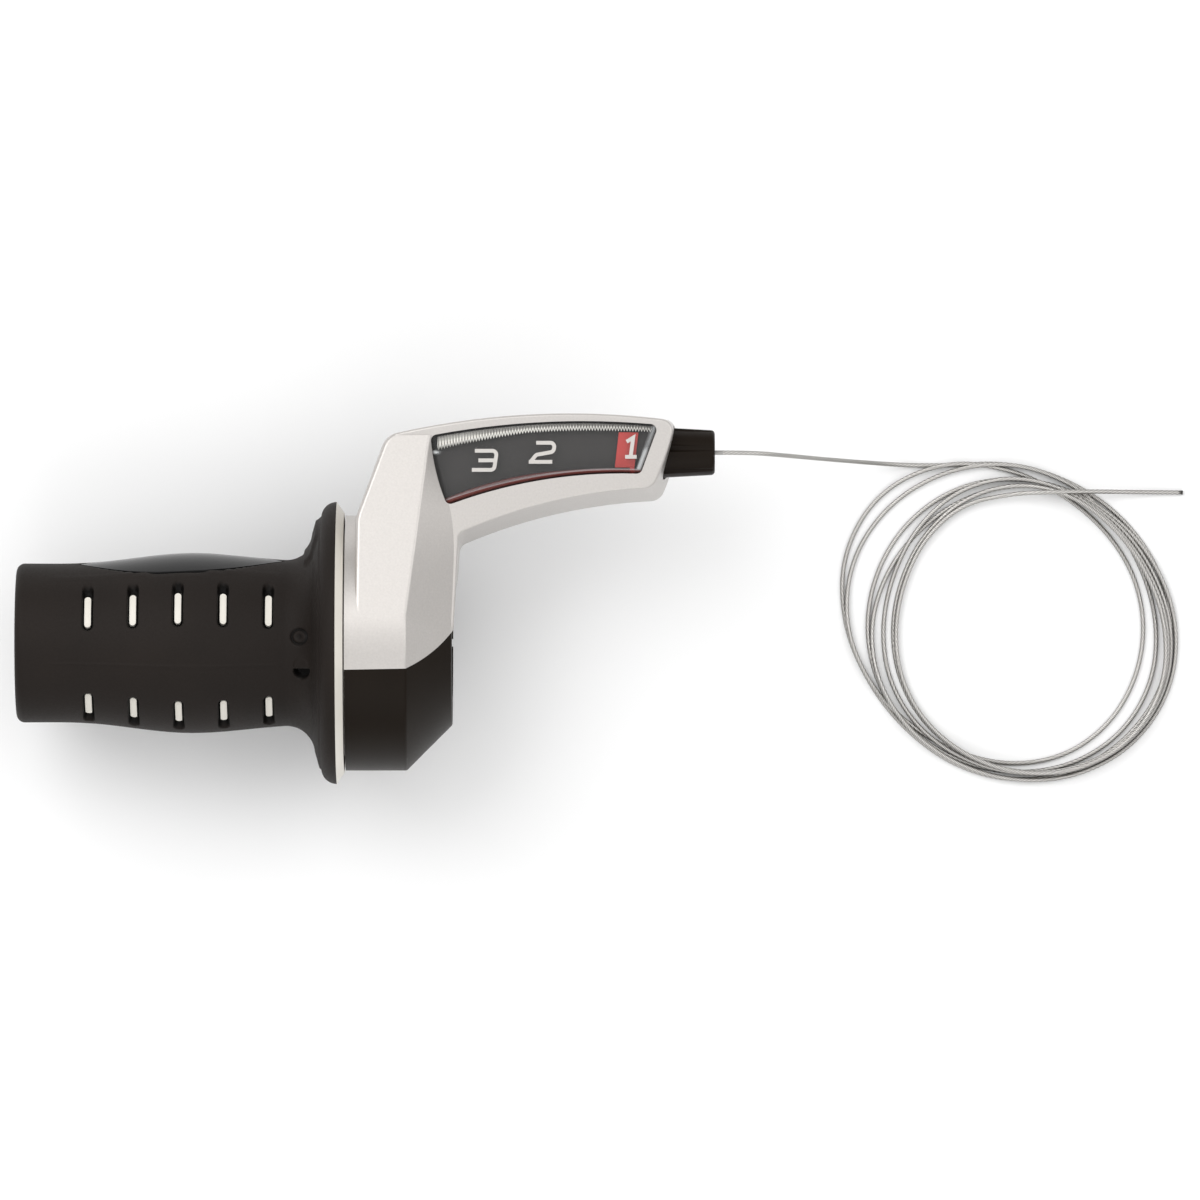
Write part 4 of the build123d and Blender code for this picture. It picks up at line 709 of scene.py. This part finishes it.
# %% Dial
dial = finish("dial_grey", (0.030, 0.0265, 0.025), (0.024, 0.021, 0.0195), (0.42, 0.55), 3000, 0.00001,
              specular=0.2)
white = finish("white_print", (0.60, 0.57, 0.54), (0.54, 0.51, 0.48), (0.4, 0.5), 3000, 0.000005)
red = finish("red_marker", (0.48, 0.042, 0.035), (0.41, 0.032, 0.027), (0.28, 0.4), 2000, 0.00001,
             specular=0.35)
filament = finish("red_filament", (0.12, 0.022, 0.018), (0.07, 0.014, 0.012), (0.22, 0.36), 2000, 0.00001)
wear(dial, "dial_plate")
wear(white, "dial_numerals")
wear(red, "indicator_marker")
wear(filament, "indicator_line")

# %% [markdown]
# Inside are a white liner, a brass insert, steel screws and springs, and the cable's cast zinc head. The
# cable inside the arm is a smooth solid without wires, so it takes the mean tone of the strand with its
# painted shade: a darker steel than the strand's own colour.

# %% Metals and liner
liner = finish("white_liner", (0.8, 0.8, 0.78), (0.72, 0.72, 0.7), (0.4, 0.5), 2000, 0.00001)
brass = finish("brass", (0.72, 0.52, 0.24), (0.6, 0.42, 0.18), (0.22, 0.36), 2500, 0.00001, metallic=1.0)
screw_steel = finish("screw_steel", (0.32, 0.32, 0.33), (0.22, 0.22, 0.23), (0.3, 0.45), 2500, 0.00001,
                     metallic=1.0)
spring_steel = finish("spring_steel", (0.6, 0.6, 0.6), (0.5, 0.5, 0.5), (0.22, 0.35), 2500, 0.00001,
                      metallic=1.0)
zinc = finish("cast_zinc", (0.55, 0.55, 0.56), (0.42, 0.42, 0.43), (0.4, 0.55), 2500, 0.00002, metallic=1.0)
cable_steel = finish("cable_steel", (0.84, 0.82, 0.79), (0.70, 0.68, 0.65), (0.26, 0.40), 3000, 0.000008,
                     metallic=1.0, patch=300)
# the cable's painted shade and its dark cut end, mixed into the steel's colour
shift_colour(cable_steel, "shade", (0.05, 0.047, 0.042))
inside_steel = finish("inside_steel", (0.42, 0.41, 0.395), (0.32, 0.31, 0.30), (0.28, 0.42), 3000, 0.000008,
                      metallic=1.0, patch=300)
wear(liner, "cable_guide", "adjuster_seat")
wear(brass, "adjuster_insert")
wear(screw_steel, "clamp_bolt", "clamp_nut", "small_screws")
wear(spring_steel, "adjuster_spring", "detent_spring", "retaining_clip")
wear(zinc, "cable_head")
wear(cable_steel, "inner_cable")
# a darker steel that stands in for the strand's painted shade
wear(inside_steel, "cable_run", "cable_wrap")
print("cable wears", cable.data.materials[0].name)

# %% [markdown]
# The window is clear: its alpha is almost nothing, apart from the places that the pane keeps as seen. There
# its pale colour is a painted highlight, its red tint a painted reflection of the filament and its dark tint
# a painted shadow line. The strip is grey between its bright parts.

# %% Clear finishes
CLEAR_ALPHA, SEEN_ALPHA = 0.02, 0.8

# pale colour that shows as painted highlight where the pane is seen
window = finish("clear_window", (0.90, 0.92, 0.93), (0.86, 0.88, 0.89), (0.04, 0.09), 700, 0.000002,
                specular=0.2)
glass = window.node_tree
see = glass.nodes.new("ShaderNodeMapRange")
see.inputs["To Min"].default_value = CLEAR_ALPHA
see.inputs["To Max"].default_value = SEEN_ALPHA
glass.links.new(read_attribute(window, "edge"), see.inputs["Value"])
glass.links.new(see.outputs["Result"], glass.nodes["Principled BSDF"].inputs["Alpha"])
# painted reflection of the red filament
shift_colour(window, "painted_red_reflection", (0.15, 0.032, 0.025))
# painted shadow line at the pane's lower edge
shift_colour(window, "rim", (0.015, 0.008, 0.008))
strip = finish("clear_strip", (0.11, 0.105, 0.095), (0.07, 0.067, 0.06), (0.12, 0.2), 2500, 0.000004)
shift_colour(strip, "bright", (0.95, 0.93, 0.88))
wear(window, "window_pane")
wear(strip, "prism_strip")

# %% [markdown]
# ## Floor and light
# The photograph has a plain white ground and soft light from all round, brightest from above. A large pale
# plane, three wide area lights and a sky that fades towards its rim give soft edges and shaded sides.

# %% Floor
FLOOR_HALF = 6.0
FLOOR_GAP = 0.02

corners = np.array([[[-1, -1, 0], [1, -1, 0]], [[-1, 1, 0], [1, 1, 0]]]) * FLOOR_HALF
floor = grid_mesh("floor", corners + np.array([0, 0, (FLOOR - FLOOR_GAP) * MM]))
pale = finish("pale_floor", (0.92, 0.92, 0.92), (0.90, 0.90, 0.90), (0.8, 0.9), 40, 0.0, patch=3.0)
wear(pale, "floor")
print("floor at", FLOOR - FLOOR_GAP, "mm")

# %% Lights
AIM = (0.03, 0.0, 0.0)


def area_light(name, place, size, power):
    """A square area light of that size in metres at place, turned towards the part."""
    lamp = bpy.data.lights.new(name, "AREA")
    lamp.size = size
    lamp.energy = power
    light = bpy.data.objects.new(name, lamp)
    light.location = place
    way = np.array(AIM, float) - np.array(place, float)
    light.rotation_euler = Vector(way).to_track_quat("-Z", "Y").to_euler()
    bpy.context.scene.collection.objects.link(light)


area_light("key", (-0.9, 0.9, 1.6), 1.4, 16)
area_light("fill", (1.2, 0.5, 1.5), 1.4, 6)
area_light("front", (0.1, -1.3, 1.2), 1.2, 4)
print("lights:", len(bpy.data.lights))

# %% Sky
RIM_LIGHT, TOP_LIGHT = 0.45, 1.0

world = bpy.data.worlds.new("studio")
world.use_nodes = True
sky = world.node_tree
direction = sky.nodes.new("ShaderNodeTexCoord")
parts = sky.nodes.new("ShaderNodeSeparateXYZ")
fade = sky.nodes.new("ShaderNodeMapRange")
fade.inputs["To Min"].default_value = RIM_LIGHT
fade.inputs["To Max"].default_value = TOP_LIGHT
sky.links.new(direction.outputs["Generated"], parts.inputs["Vector"])
sky.links.new(parts.outputs["Z"], fade.inputs["Value"])
sky.links.new(fade.outputs["Result"], sky.nodes["Background"].inputs["Strength"])
sky.nodes["Background"].inputs["Color"].default_value = (1, 1, 1, 1)
bpy.context.scene.world = world
bpy.context.scene.view_settings.view_transform = "Standard"
print("sky from", RIM_LIGHT, "to", TOP_LIGHT)
